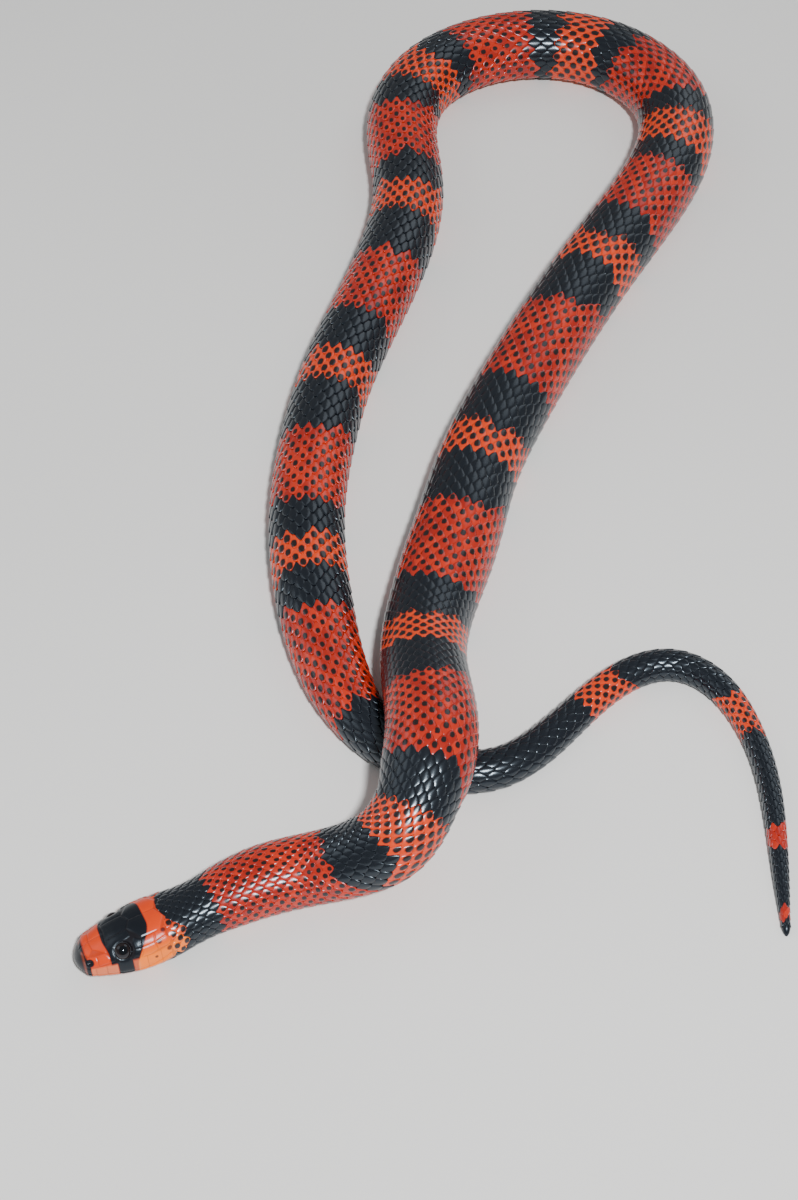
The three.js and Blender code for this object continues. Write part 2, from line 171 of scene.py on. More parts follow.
# Coloured rings from the nose to the tail; all between them is black. Each row gives where a ring
# starts and ends on the middle of the back, then how much further back each of the two edges is
# low on the left side, and then low on the right side.
RED_RINGS = np.array([
    (36.2, 69.5, 0, 7, 0.5, -3.5), (105, 126.2, -3.2, 3.4, 2, 2.2), (172, 202, 1.2, 5, 1.2, 0.8),
    (255.4, 291, -1.4, 9.5, 2.4, -2.5), (340, 366, -2.4, 2.4, -2.4, 2.4), (406, 433, -2.4, 2.4, -2.4, 2.4),
    (473, 499, -2.4, 2.4, -2.4, 2.4), (539, 565, -2.4, 2.4, -2.4, 2.4), (613.2, 640.6, 1.8, -0.5, -1.6, 1.4),
    (691.4, 719.2, 1, -1.6, -1.4, -0.6), (758, 789, -2, 2, -2, 2), (957.4, 963.8, -0.6, -0.7, -3, 0),
    (980, 983.4, 0.5, 0.4, 0, 0),
])
ORANGE_RINGS = np.array([
    (86.4, 95, -3, -1, -0.4, -0.6), (140.8, 153, -0.3, 5.5, 3.8, 3.8), (221.4, 233.4, 0, 2.6, 0.6, 3.8),
    (312.5, 325, -1.5, 2, -1, 2), (378.5, 393, -1.6, 1.6, -1.6, 1.6), (445, 460, -1.6, 1.6, -1.6, 1.6),
    (511.5, 526, -1.6, 1.6, -1.6, 1.6), (579, 592.6, -1, 0, -1, 2.4), (660.2, 672, 0.6, 0.6, -2.2, 3),
    (733, 744, -1.4, 1.4, -1.4, 1.4), (809.5, 821, 0, 0, 0, 0), (864.2, 877, -0.6, 3.2, 4, 2),
    (914.8, 927.6, -1.8, -0.7, -2.4, 0.5),
])

# Scales: distance from the nose and length of one scale in its row.
SCALE_LENGTHS = np.array([
    (19, 2.4), (36, 2.9), (48, 3.1), (60, 4), (70, 3.8), (84, 2.7), (95, 2.5), (108, 2.85),
    (127, 3.1), (150, 3.9), (175, 4.75), (200, 4.85), (279, 5.3), (450, 5.4), (623, 5.3), (703, 5),
    (773, 4.4), (833, 3.8), (873, 3.4), (904, 3.2), (954, 2.7), (987, 2),
])
# Rows round the back: distance from the nose and number of rows; and how the rows crowd at the middle.
SCALE_ROWS = np.array([(0, 21), (60, 23), (600, 23), (700, 21), (790, 17), (850, 11.5), (904, 10), (987, 6)])
CROWDING = 0.13
BELLY_EDGE = np.radians(-42)
FIRST_SCALE = 22.8
FIRST_SCUTE = 21.0
SCUTES_FULL = 36.0
VENT = 793.0
COAT_SHARE = 0.18
THIN_SCALE = 0.14
# Where the scales begin: distance round from the middle of the back, and distance from the nose.
COAT_STARTS = [(0, 22.6), (3, 24), (5.5, 22.6), (8, 22.8), (14, 22.6), (16.5, 22), (17.8, 15.8), (30, 15.8)]
GULAR_STARTS = 15.5
COAT_PIECES = [("front_scales", 0, 235), ("middle_scales", 235, 480), ("rear_scales", 480, 735),
               ("tail_scales", 735, 1000)]

# Size of the dark spot on a scale of the red and of the orange rings, and side of a scale's map patch.
RED_SPOT = 0.9
ORANGE_SPOT = 1.14
PATCH = 0.004

# Columns round the skin, over the head and over the body, and the step between rings.
HEAD_COLUMNS = 260
BODY_COLUMNS = 65
HEAD_STEP = 0.16
BODY_STEP = 3.0
HEAD_MESH_ENDS = 27.5

# Steps of the line, of the section outline and of the chart, and margins at the nose and the tail's tip.
LINE_SAMPLES = 160
OUTLINE_STEPS = 361
CHART_FINE_ENDS = 30
CHART_FINE_STEPS = 121
SHARE_STEPS = 161
NOSE_MARGIN = 0.01
END_MARGIN = 0.02

# How the rings' edges bend low on the sides, wander, and how wide a ring wanders in full.
RING_BEND_AT = 0.62
RING_BEND_MOST = 1.25
RING_WANDER = 0.5
WIDE_RING = 12

# Grid of points of a scale: rows and columns, the part with even steps, and the last rows at the tip.
PLATE_ROWS = 8
PLATE_COLUMNS = 6
PLATE_EVEN_PART = (-0.98, 0.6)
PLATE_TIP_LIES = (0.82, 0.94, 0.985)
SKIRT_SHARE = 0.97

# Form of a scale, as shares of the coat's depth, and its reach along the body as a share of its length.
SCALE_ROOT = 0.08
SCALE_SLOPE = 0.98
SCALE_TIP_DROP = 0.1
SCALE_DOME = 0.64
SCALE_SKIRT = -0.5
SCALE_REACH = 0.56
SCALE_UNEVEN = 0.08
ROW_OVERLAP = 0.35
COUNT_STEP = 0.25
BARE_TIP = 2.2
SPOTS_FADE = (0.86, 1.0)
TAIL_PLAIN = (940, 950)

# Form of a belly scute.
SCUTE_LIES = (-1, -0.3, 0.4, 0.85, 1.0)
# The pale colour also forms the pale part of the painted highlight on the snout's rim.
HALVES_OVERLAP = 0.02
SCUTE_NARROWING = 0.06
SCUTE_ROOT = 0.1
SCUTE_EDGE_DROP = 0.35
SCUTE_SKIRT = -1.5
SCUTE_COLUMNS = 15
SCUTE_REACH = 0.58
SCUTE_BOW = 0.18
NARROW_SCUTE = 0.3

# Finishes: roughness and shine of each kind of surface, and where the pupil ends.
SKIN_ROUGHNESS = 0.3
SCALE_ROUGHNESS = 0.25
SCUTE_ROUGHNESS = 0.34
EYE_ROUGHNESS = 0.07
FLOOR_ROUGHNESS = 0.8
SKIN_SHINE = 0.4
SCALE_SHINE = 0.65
SKIN_SHINE_TINT = (0.72, 0.87, 1, 1)
EYE_SHINE_TINT = (0.7, 0.85, 1, 1)
GRAIN_BUMP = 0.12
GRAIN_HEIGHT = 0.0001
SEAM_DARKNESS = 0.3
PUPIL_EDGE = (0.86, 0.88)

# The spot near a scale's tip: its middle, reach along and across, squareness, and soft edge.
TIP_SPOT_AT = 0.7
TIP_SPOT_LENGTH = 0.22
TIP_SPOT_WIDTH = 0.43
TIP_SPOT_SQUARE = 2.4
TIP_SPOT_EDGE = (0.76, 1.16)

# Floor, lights and camera of the stage, in metres.
FLOOR_TONES = ((0.72, 0.72, 0.71, 1), (0.76, 0.76, 0.75, 1))
KEY_PLACE = (0.16, -0.72, 0.98)
LEFT_FILL_PLACE = (-1.2, 0.2, 0.9)
BACK_FILL_PLACE = (0.7, 1.0, 1.0)
KEY_SIZE = 0.1
FILL_SIZE = 1.0
SKY_STRENGTH = 0.3
CAMERA_SEES_FROM = 0.01

RANDOM_SEED = 7


# The body as functions of the distance from the nose.
def smooth(x, low, high):
    """Smooth step from 0 at low to 1 at high."""
    t = np.clip((np.asarray(x, float) - low) / (high - low), 0, 1)
    return t * t * (3 - 2 * t)


def along(table, column, s):
    """One column of a table at distances s, on a smooth curve that doesn't overshoot."""
    x, y = table[:, 0], table[:, column]
    slope = np.diff(y) / np.diff(x)
    before, after = slope[:-1], slope[1:]
    total = np.where(before + after == 0, 1, before + after)
    mean = np.where(before * after > 0, 2 * before * after / total, 0)
    tangent = np.concatenate([slope[:1], mean, slope[-1:]])
    s = np.clip(s, x[0], x[-1])
    row = np.clip(np.searchsorted(x, s, side="right") - 1, 0, len(x) - 2)
    span = x[row + 1] - x[row]
    u = (s - x[row]) / span
    rise = u * u * (3 - 2 * u)
    bend = tangent[row] * (u**3 - 2 * u * u + u) + tangent[row + 1] * (u**3 - u * u)
    return y[row] * (1 - rise) + y[row + 1] * rise + span * bend


def belly_line():
    """Places and directions along the belly line, with the distance from the nose of each."""
    control = LINE - MIDDLE
    spans = len(control) - 3
    t = np.linspace(0, spans, spans * LINE_SAMPLES + 1)
    first = np.minimum(t.astype(int), spans - 1)
    u = t - first
    weights = [(1 - u) ** 3, 3 * u**3 - 6 * u**2 + 4, -3 * u**3 + 3 * u**2 + 3 * u + 1, u**3]
    slopes = [-3 * (1 - u) ** 2, 9 * u**2 - 12 * u, -9 * u**2 + 6 * u + 3, 3 * u**2]
    place = sum(w[:, None] * control[first + i] for i, w in enumerate(weights)) / 6
    back = sum(w[:, None] * control[first + i] for i, w in enumerate(slopes))
    back /= np.linalg.norm(back, axis=1)[:, None]
    steps = np.linalg.norm(np.diff(place, axis=0), axis=1)
    return np.concatenate([[0], np.cumsum(steps)]), place, back


LINE_S, LINE_PLACE, LINE_BACK = belly_line()
TOTAL = LINE_S[-1]


def station(s):
    """Place, tailward, left and up directions at distances s."""
    place = np.stack([np.interp(s, LINE_S, LINE_PLACE[:, i]) for i in range(3)], -1)
    back = np.stack([np.interp(s, LINE_S, LINE_BACK[:, i]) for i in range(3)], -1)
    back /= np.linalg.norm(back, axis=-1, keepdims=True)
    left = np.cross(back, (0.0, 0.0, 1.0))
    left /= np.linalg.norm(left, axis=-1, keepdims=True)
    return place, back, left, np.cross(left, back)


def form(s):
    """Half width, squareness, widest height, back, underside and roll of the section at s."""
    s = np.asarray(s, float)
    nose = np.sqrt(1 - (1 - np.clip(s / NOSE_ROUND, 0, 1)) ** 2)
    end = np.sqrt(np.clip(1 - (1 - np.clip((TOTAL - s) / TAIL_ROUND, 0, 1)) ** 2, 0, 1))
    crown = along(GIRTH, 2, s)
    chin = CHIN_RISE * (1 - np.clip(s / CHIN_LENGTH, 0, 1)) ** CHIN_POWER
    near_nose = 1 - smooth(s, 0, HEAD_LENGTH)
    widest = crown * WIDEST_AT + (NOSE_HEIGHT - crown * WIDEST_AT) * near_nose
    return {
        "half": along(GIRTH, 1, s) * nose * end,
        "square": along(GIRTH, 3, s),
        "widest": widest * end,
        "crown": (widest + (crown - widest) * nose) * end,
        "under": (widest - (widest - chin) * nose) * end,
        "roll": HEAD_ROLL * (1 - smooth(s, HEAD_LENGTH, ROLL_ENDS)),
    }


def outline(f, angle, grow=0.0):
    """Left and height of the section outline at an angle that starts at the left side."""
    side, rise = np.cos(angle), np.sin(angle)
    power = 2 / np.where(rise > 0, f["square"], BELLY_SQUARE)
    left = (f["half"] + grow) * np.sign(side) * np.abs(side) ** power
    bend = np.sign(rise) * np.abs(rise) ** power
    above = f["widest"] + (f["crown"] - f["widest"] + grow) * bend
    deep = f["widest"] + (f["widest"] - f["under"]) * BELLY_PRESS * bend
    below = np.maximum(deep, f["under"]) - grow * np.abs(rise)
    return left, np.where(rise > 0, above, below)


def rolled(left, up, roll):
    """The outline point turned about the axis of the neck."""
    return (
        left * np.cos(roll) - (up - ROLL_PIVOT) * np.sin(roll),
        ROLL_PIVOT + left * np.sin(roll) + (up - ROLL_PIVOT) * np.cos(roll),
    )


def lowest_table():
    """Height of the lowest point of each rolled section, which rests on the floor."""
    s = np.arange(0, ROLL_ENDS + 2.0)
    f = form(np.maximum(s, HEAD_LENGTH))
    ring = np.arange(FLOOR_SIDES) * 2 * np.pi / FLOOR_SIDES
    column = {name: value[:, None] for name, value in f.items()}
    left, up = outline(column, ring[None, :])
    _, height = rolled(left, up, column["roll"])
    return s, height.min(axis=1) + ROLL_PRESS * f["roll"] / HEAD_ROLL


LOWEST_S, LOWEST = lowest_table()


def surface(s, angle, grow=0.0):
    """Points on the body at distances s and section angles, moved outward by grow, in millimetres."""
    f = form(s)
    place, _, left_way, up_way = station(s)
    left, up = rolled(*outline(f, angle, grow), f["roll"])
    height = np.maximum(up - np.interp(s, LOWEST_S, LOWEST), 0)
    return place + left[..., None] * left_way + height[..., None] * up_way


# The chart: distance from the nose, and distance round the body from the middle of the back.
CHART_S = np.concatenate([
    np.linspace(0, CHART_FINE_ENDS, CHART_FINE_STEPS),
    np.arange(CHART_FINE_ENDS + 1, np.floor(TOTAL) + 1),
    [TOTAL - END_MARGIN],
])
SHARES = np.linspace(0, 1, SHARE_STEPS)


def chart_tables():
    """Half girth, width of one side of the back, and section angle for each share of the half girth."""
    angles = np.linspace(np.pi / 2, -np.pi / 2, OUTLINE_STEPS)
    f = {name: value[:, None] for name, value in form(np.maximum(CHART_S, NOSE_MARGIN)).items()}
    left, up = outline(f, angles[None, :])
    steps = np.hypot(np.diff(left, axis=1), np.diff(up, axis=1))
    arc = np.concatenate([np.zeros((len(CHART_S), 1)), np.cumsum(steps, axis=1)], axis=1)
    half_girth = arc[:, -1]
    edge = np.array([np.interp(-BELLY_EDGE, -angles, row) for row in arc])
    turn = np.array([np.interp(SHARES, row / row[-1], angles) for row in arc])
    return half_girth, edge, turn


HALF_GIRTH, BACK_EDGE, TURN = chart_tables()


def half_girth(s):
    """Distance round one side of the body, from the middle of the back to the middle of the belly."""
    return np.interp(s, CHART_S, HALF_GIRTH)


def back_edge(s):
    """Distance round the body from the middle of the back to where the belly scutes begin."""
    return np.interp(s, CHART_S, BACK_EDGE)


def row_pitch(s):
    """Mean distance between neighbouring rows of scales."""
    return 2 * back_edge(s) / along(SCALE_ROWS, 1, s)


def row_place(s, row):
    """Distance round the body of a row counted from the middle of the back, and its width there."""
    x = row * row_pitch(s) / back_edge(s)
    cube = np.where(np.abs(x) < 1, x**3, np.sign(x) * (3 * np.abs(x) - 2))
    place = back_edge(s) * ((1 - CROWDING) * x + CROWDING * cube)
    return place, row_pitch(s) * (1 - CROWDING + 3 * CROWDING * np.minimum(x * x, 1))


def coat_depth(s):
    """Thickness of the scales over the skin, none on the head."""
    return COAT_SHARE * row_pitch(s) * smooth(s, FIRST_SCALE - 1.6, FIRST_SCALE + 1.4)


def scute_half(s):
    """Half the width of a belly scute, narrow on the throat."""
    full = half_girth(s) - back_edge(s) + ROW_OVERLAP * row_pitch(s)
    return full * (NARROW_SCUTE + (1 - NARROW_SCUTE) * smooth(s, FIRST_SCUTE, SCUTES_FULL))


def angle_of(s, share):
    """Section angle at a signed share of the half girth, positive to the snake's left."""
    row = np.interp(s, CHART_S, np.arange(len(CHART_S)))
    column = np.clip(np.abs(share), 0, 1) * (len(SHARES) - 1)
    r = np.minimum(row.astype(int), len(CHART_S) - 2)
    c = np.minimum(column.astype(int), len(SHARES) - 2)
    fr, fc = row - r, column - c
    near = TURN[r, c] * (1 - fc) + TURN[r, c + 1] * fc
    far = TURN[r + 1, c] * (1 - fc) + TURN[r + 1, c + 1] * fc
    angle = near * (1 - fr) + far * fr
    return np.where(share < 0, np.pi - angle, angle)


def on_body(s, round_, grow=0.0):
    """Points at distance s and distance round the body, moved outward by grow."""
    s = np.clip(s, NOSE_MARGIN, TOTAL - END_MARGIN)
    return surface(s, angle_of(s, round_ / half_girth(s)), grow)


# Markings.
def wave(x, seed):
    """A smooth wandering value near -1 to 1."""
    return (np.sin(x * 0.83 + seed * 2.1) + 0.6 * np.sin(x * 1.9 + seed * 5.3)) / 1.6


def in_rings(s, round_, rings):
    """1 inside any of the rings, whose edges bend low on the sides and are a little uneven."""
    share = round_ / back_edge(s)
    bend = np.clip(np.abs(share) / RING_BEND_AT, 0, RING_BEND_MOST) ** 2
    inside = np.zeros(np.broadcast(s, round_).shape)
    for i, (start, end, left_start, left_end, right_start, right_end) in enumerate(rings):
        size = np.clip((end - start) / WIDE_RING, 0.1, 1)
        wander = RING_WANDER * size
        low = start + bend * np.where(share > 0, left_start, right_start) + wander * wave(round_, i)
        high = end + bend * np.where(share > 0, left_end, right_end) + wander * wave(round_, i + 40)
        inside = np.where((s > low) & (s < high), 1.0, inside)
    return inside


def soft_band(value, low, high, edge=0.1):
    """1 between two limits, with a narrow soft edge."""
    return smooth(value, low - edge, low + edge) * (1 - smooth(value, high - edge, high + edge))


def head_colours(s, round_):
    """Shares of orange, bright cheek colour and pale lip colour on the head; the pale rim round the snout's
    tip is partly a painted highlight.
    """
    share = np.abs(round_) / half_girth(np.maximum(s, 0.5))
    low_down = smooth(share, 0.5, 0.66)
    snout_starts = SNOUT_BAND[0] + 0.6 * smooth(share, 0.25, 0.4)
    snout = soft_band(s, snout_starts, SNOUT_BAND[1] + 0.8 * smooth(share, 0.1, 0.35))
    snout = snout * (1 - smooth(share, 0.66, 0.7))
    ahead, beside = s - NOSTRIL_MARK[0], share - NOSTRIL_MARK[1]
    around_nostril = np.hypot(ahead / NOSTRIL_MARK_SIZE[0], beside / NOSTRIL_MARK_SIZE[1])
    snout = snout * smooth(around_nostril, 0.88, 1.08)
    cheek_starts = CHEEK_BAND[0] - 4.7 * smooth(share, 0.12, 0.55)
    cheek_ends = CHEEK_BAND[1] + 3.6 * smooth(share, 0.05, 0.38) - 5.6 * low_down
    cheek = soft_band(s, cheek_starts, cheek_ends)
    lip = soft_band(share, *LIP_HEIGHTS, 0.02)
    lip_patch = lip * np.maximum(soft_band(s, *FRONT_LIP), 0.7 * soft_band(s, *REAR_LIP))
    chin = smooth(share, 0.7, 0.74) * soft_band(s, *CHIN_BAND)
    bright = cheek * smooth(share, 0.3, 0.5)
    for place, beside, size in CHEEK_SPOTS:
        away = np.hypot(s - place, (share - beside) * half_girth(np.maximum(s, 0.5))) / size
        cheek = cheek * (1 - 0.85 * (1 - smooth(away, 0.75, 1.15)))
    # The pale rim round the snout's tip is partly the rostral's pale edge and partly a painted highlight
    # along it.
    rim = 0.3 * soft_band(s, *NOSE_RIM_AND_HIGHLIGHT, 0.08) * soft_band(share, 0.12, 0.7, 0.03)
    orange = np.maximum.reduce([snout, cheek, lip_patch, chin, rim]) * smooth(s, 1.2, 1.6)
    return orange, bright, np.maximum.reduce([0.4 * lip_patch, 0.35 * chin, rim])


def markings(s, round_):
    """Shares of red, orange, bright orange and pale colour at places on the body; the rest is black."""
    red = in_rings(s, round_, RED_RINGS)
    on_head = s < HEAD_LENGTH
    head_orange, bright, head_pale = head_colours(s, round_)
    orange = np.where(on_head, head_orange, in_rings(s, round_, ORANGE_RINGS))
    belly = smooth(np.abs(round_), back_edge(s) * 0.98, back_edge(s) * 1.12) * 0.6
    return {
        "red": red, "orange": orange * (1 - red), "bright": np.where(on_head, bright, 0),
        "pale": np.where(on_head, head_pale, belly),
    }


# Meshes.
def make_mesh(name, points, faces, uv, values):
    """A smooth-shaded object from points in millimetres, faces, loop UVs and named point values."""
    mesh = bpy.data.meshes.new(name)
    counts = np.concatenate([np.full(len(block), block.shape[1]) for block in faces])
    loops = np.concatenate([block.ravel() for block in faces])
    mesh.vertices.add(len(points))
    mesh.vertices.foreach_set("co", (np.asarray(points) * MM).astype(np.float32).ravel())
    mesh.loops.add(len(loops))
    mesh.loops.foreach_set("vertex_index", loops.astype(np.int32))
    mesh.polygons.add(len(counts))
    starts = np.concatenate([[0], np.cumsum(counts)[:-1]])
    mesh.polygons.foreach_set("loop_start", starts.astype(np.int32))
    mesh.update(calc_edges=True)
    layer = mesh.uv_layers.new(name="OFBake")
    layer.uv.foreach_set("vector", np.asarray(uv, np.float32).ravel())
    for title, value in values.items():
        attribute = mesh.attributes.new(title, "FLOAT", "POINT")
        attribute.data.foreach_set("value", np.asarray(value, np.float32).ravel())
    mesh.validate()
    mesh.shade_smooth()
    piece = bpy.data.objects.new(name, mesh)
    bpy.context.scene.collection.objects.link(piece)
    return piece


def finish_piece(piece, material, nodes=()):
    """Gives a piece its material and its body, and hides the model's parts for the nodes it stands for."""
    piece.data.materials.append(material)
    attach(piece, "root")
    if nodes:
        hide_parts(*nodes)


# The head's shields.
def side_to_round(s, value, view):
    """Distance round the body of a place known by its height, or by its distance from the middle."""
    s = max(s, 0.05)
    angles = np.linspace(np.pi / 2, -np.pi / 2, OUTLINE_STEPS)
    left, up = outline(form(s), angles)
    arc = np.concatenate([[0], np.cumsum(np.hypot(np.diff(left), np.diff(up)))])
    if view == "side":
        return float(np.interp(-value, -up, arc))
    if view == "above":
        top = angles >= 0
        return float(np.interp(abs(value), left[top], arc[top])) * (1 if value >= 0 else -1)
    low = angles <= 0
    return float(np.interp(-abs(value), -left[low], arc[low]))


def shield_outlines():
    """Outlines of the head's shields on the chart, for both sides."""
    shapes = []

    def add(points, view, both=True):
        """Puts an outline on the chart, and its mirror where both sides have it."""
        shape = []
        for (s, v), (s2, v2) in zip(points, points[1:] + points[:1]):
            for t in (0, 0.5):
                at = s + (s2 - s) * t
                shape.append((at, side_to_round(at, v + (v2 - v) * t, view)))
        shapes.append(np.array(shape))
        if both:
            shapes.append(np.array(shape) * (1, -1))

    for points in CROWN_SHIELDS.values():
        add(points, "above")
    add(FRONTAL, "above", both=False)
    for points in SIDE_SHIELDS.values():
        add(points, "side")
    for points in CHIN_SHIELDS.values():
        add(points, "below")
    for a, b in zip(LIP_EDGES, LIP_EDGES[1:]):
        mouth = [float(along(MOUTH, 1, np.array(x))) for x in (a, b)]
        top = [float(along(LIP_TOP, 1, np.array(x))) for x in (a, b)]
        add([(a, mouth[0] + LIP_MARGIN), (b, mouth[1] + LIP_MARGIN), (b, top[1]), (a, top[0])], "side")
        add(
            [(a, mouth[0] - LIP_MARGIN), (b, mouth[1] - LIP_MARGIN),
             (b, mouth[1] - LOWER_LIP_DEPTH), (a, mouth[0] - LOWER_LIP_DEPTH)],
            "side",
        )
    return shapes


def depth_inside(shape, x, y):
    """Distance from places inside an outline to its nearest edge, and 0 outside."""
    inside = np.zeros(x.shape, bool)
    depth = np.full(x.shape, 1e9)
    for (x0, y0), (x1, y1) in zip(shape, np.roll(shape, -1, axis=0)):
        crosses = (y0 > y) != (y1 > y)
        at = x0 + (y - y0) * (x1 - x0) / (y1 - y0 if y1 != y0 else 1e-9)
        inside ^= crosses & (x < at)
        run = max((x1 - x0) ** 2 + (y1 - y0) ** 2, 1e-12)
        t = np.clip(((x - x0) * (x1 - x0) + (y - y0) * (y1 - y0)) / run, 0, 1)
        depth = np.minimum(depth, np.hypot(x - x0 - t * (x1 - x0), y - y0 - t * (y1 - y0)))
    return np.where(inside, depth, 0)


def shield_relief(s, round_):
    """Height of the head's shields over the skin, and a value that is 1 in the grooves between them."""
    depth = np.zeros(s.shape)
    for shape in shield_outlines():
        (low_x, low_y), (high_x, high_y) = shape.min(axis=0), shape.max(axis=0)
        near = (s > low_x) & (s < high_x) & (round_ > low_y) & (round_ < high_y)
        depth[near] = np.maximum(depth[near], depth_inside(shape, s[near], round_[near]))
    rise = SHIELD_RISE * smooth(depth, 0, GROOVE) + SHIELD_DOME * smooth(depth, 0, DOME_WIDTH)
    return rise, 1 - smooth(depth, 0.02, GROOVE * 0.8)


def head_frame():
    """Origin and directions of the head: forward, to the snake's left, and up."""
    place, back, left, up = (v[0] for v in station(np.array([0.0])))
    turn_left = left * np.cos(HEAD_ROLL) + up * np.sin(HEAD_ROLL)
    turn_up = up * np.cos(HEAD_ROLL) - left * np.sin(HEAD_ROLL)
    origin = place + up * (ROLL_PIVOT - LOWEST[0]) - turn_up * ROLL_PIVOT
    return origin, -back, turn_left, turn_up


def head_place(s, angle, side):
    """Point on the head and its outward direction."""
    origin, forward, left_way, up_way = head_frame()
    f = form(s)
    left, up = outline(f, angle)
    next_left, next_up = outline(f, angle + 0.02)
    out = np.array([next_up - up, left - next_left])
    out /= np.linalg.norm(out)
    point = origin - forward * s + left_way * side * left + up_way * up
    return point, left_way * side * out[0] + up_way * out[1]


def eye_centre(side):
    """Centre of an eyeball and the way it looks."""
    point, out = head_place(EYE_FROM_NOSE, EYE_ANGLE, side)
    return point + out * (EYE_BULGE - EYE_RADIUS), out


def seen_from_eye(points, side):
    """An eyeball's centre and look, and how far points lie ahead of it, across it and off its axis."""
    centre, out = eye_centre(side)
    away = points - centre
    ahead = away @ out
    across = away - ahead[:, None] * out
    return centre, out, ahead, across, np.linalg.norm(across, axis=1)


def sink_for_eye(points, side):
    """Draws the skin round an eye down to the eyeball, leaving a rim."""
    centre, out, ahead, across, reach = seen_from_eye(points, side)
    near = (reach < EYE_RIM) & (ahead > -0.3)
    hidden = EYE_RADIUS - EYE_TUCK
    deep = centre + across + out * np.sqrt(np.clip(hidden**2 - reach**2, 0.01, None))[:, None]
    stay = smooth(reach, EYE_OPENING, EYE_RIM)[:, None]
    points[near] = (deep * (1 - stay) + points * stay)[near]


def sculpt_head(points, normals, s, round_):
    """The head's skin with shields, line of the mouth, nostrils and eye rims; and its groove value."""
    rise, groove = shield_relief(s, round_)
    angle = angle_of(s, round_ / half_girth(s))
    _, up = outline(form(s), angle)
    from_mouth = np.abs(up - along(MOUTH, 1, s))
    mouth = 1 - smooth(from_mouth, 0.1 * MOUTH_WIDTH, MOUTH_WIDTH)
    mouth = mouth * (1 - smooth(s, MOUTH_ENDS - MOUTH_FADE, MOUTH_ENDS))
    fade = 1 - smooth(s, *SHIELDS_FADE)
    for side in (1, -1):
        _, _, ahead, _, reach = seen_from_eye(points, side)
        clear = smooth(reach, EYE_OPENING, EYE_RIM + SMOOTH_ROUND_EYE)
        rise = np.where(ahead > 0, rise * clear, rise)
    moved = points + normals * (rise * fade - MOUTH_DEPTH * mouth)[:, None]
    for side in (1, -1):
        nostril, _ = head_place(NOSTRIL_FROM_NOSE, NOSTRIL_ANGLE, side)
        near = np.linalg.norm(moved - nostril, axis=1)
        moved -= normals * (NOSTRIL_DEPTH * (1 - smooth(near, 0.1, NOSTRIL_RADIUS + 0.15)))[:, None]
        groove = np.maximum(groove, 1 - smooth(near, 0.3, NOSTRIL_RADIUS))
        sink_for_eye(moved, side)
    return moved, np.maximum(groove * fade, mouth)


def grid_normals(points):
    """Outward directions of a grid of points whose columns close on themselves."""
    down = np.gradient(points, axis=0)
    across = np.roll(points, -1, axis=1) - np.roll(points, 1, axis=1)
    normal = np.cross(across, down)
    return normal / np.maximum(np.linalg.norm(normal, axis=-1, keepdims=True), 1e-9)


def skin_rings():
    """Distances from the nose of the skin's rings, for the head and for the body."""
    nose = NOSE_ROUND * (1 - np.cos(np.radians(np.arange(6, 90, 4))))
    steps = int((HEAD_MESH_ENDS - NOSE_ROUND) / HEAD_STEP)
    head = np.concatenate([nose, np.linspace(NOSE_ROUND, HEAD_MESH_ENDS, steps)])
    steps = int((TOTAL - TAIL_ROUND - HEAD_MESH_ENDS) / BODY_STEP)
    body = np.linspace(HEAD_MESH_ENDS, TOTAL - TAIL_ROUND, steps + 1)[1:]
    tip = TOTAL - TAIL_ROUND * (1 - np.sin(np.radians([25, 50, 70, 84])))
    return head, np.concatenate([body, tip])


def ring_points(s, columns):
    """Skin points and their chart places for rings of evenly spaced columns."""
    share = -1 + 2 * np.arange(columns) / columns
    s_grid, share_grid = np.meshgrid(s, share, indexing="ij")
    round_ = share_grid * half_girth(s_grid)
    return on_body(s_grid, round_, -coat_depth(s_grid)), s_grid, round_


def strip_uv(s, share, first, last, strips, low, high):
    """Place on an unwrap in strips side by side, from low to high in height."""
    length = (last - first) / strips
    strip = np.clip(((s - first) / length).astype(int), 0, strips - 1)
    across = (s - first - strip * length) / length
    u = 0.01 + 0.98 * across
    v = low + (high - low) * (strip + 0.5 + 0.46 * share) / strips
    return np.stack([u, v], -1)


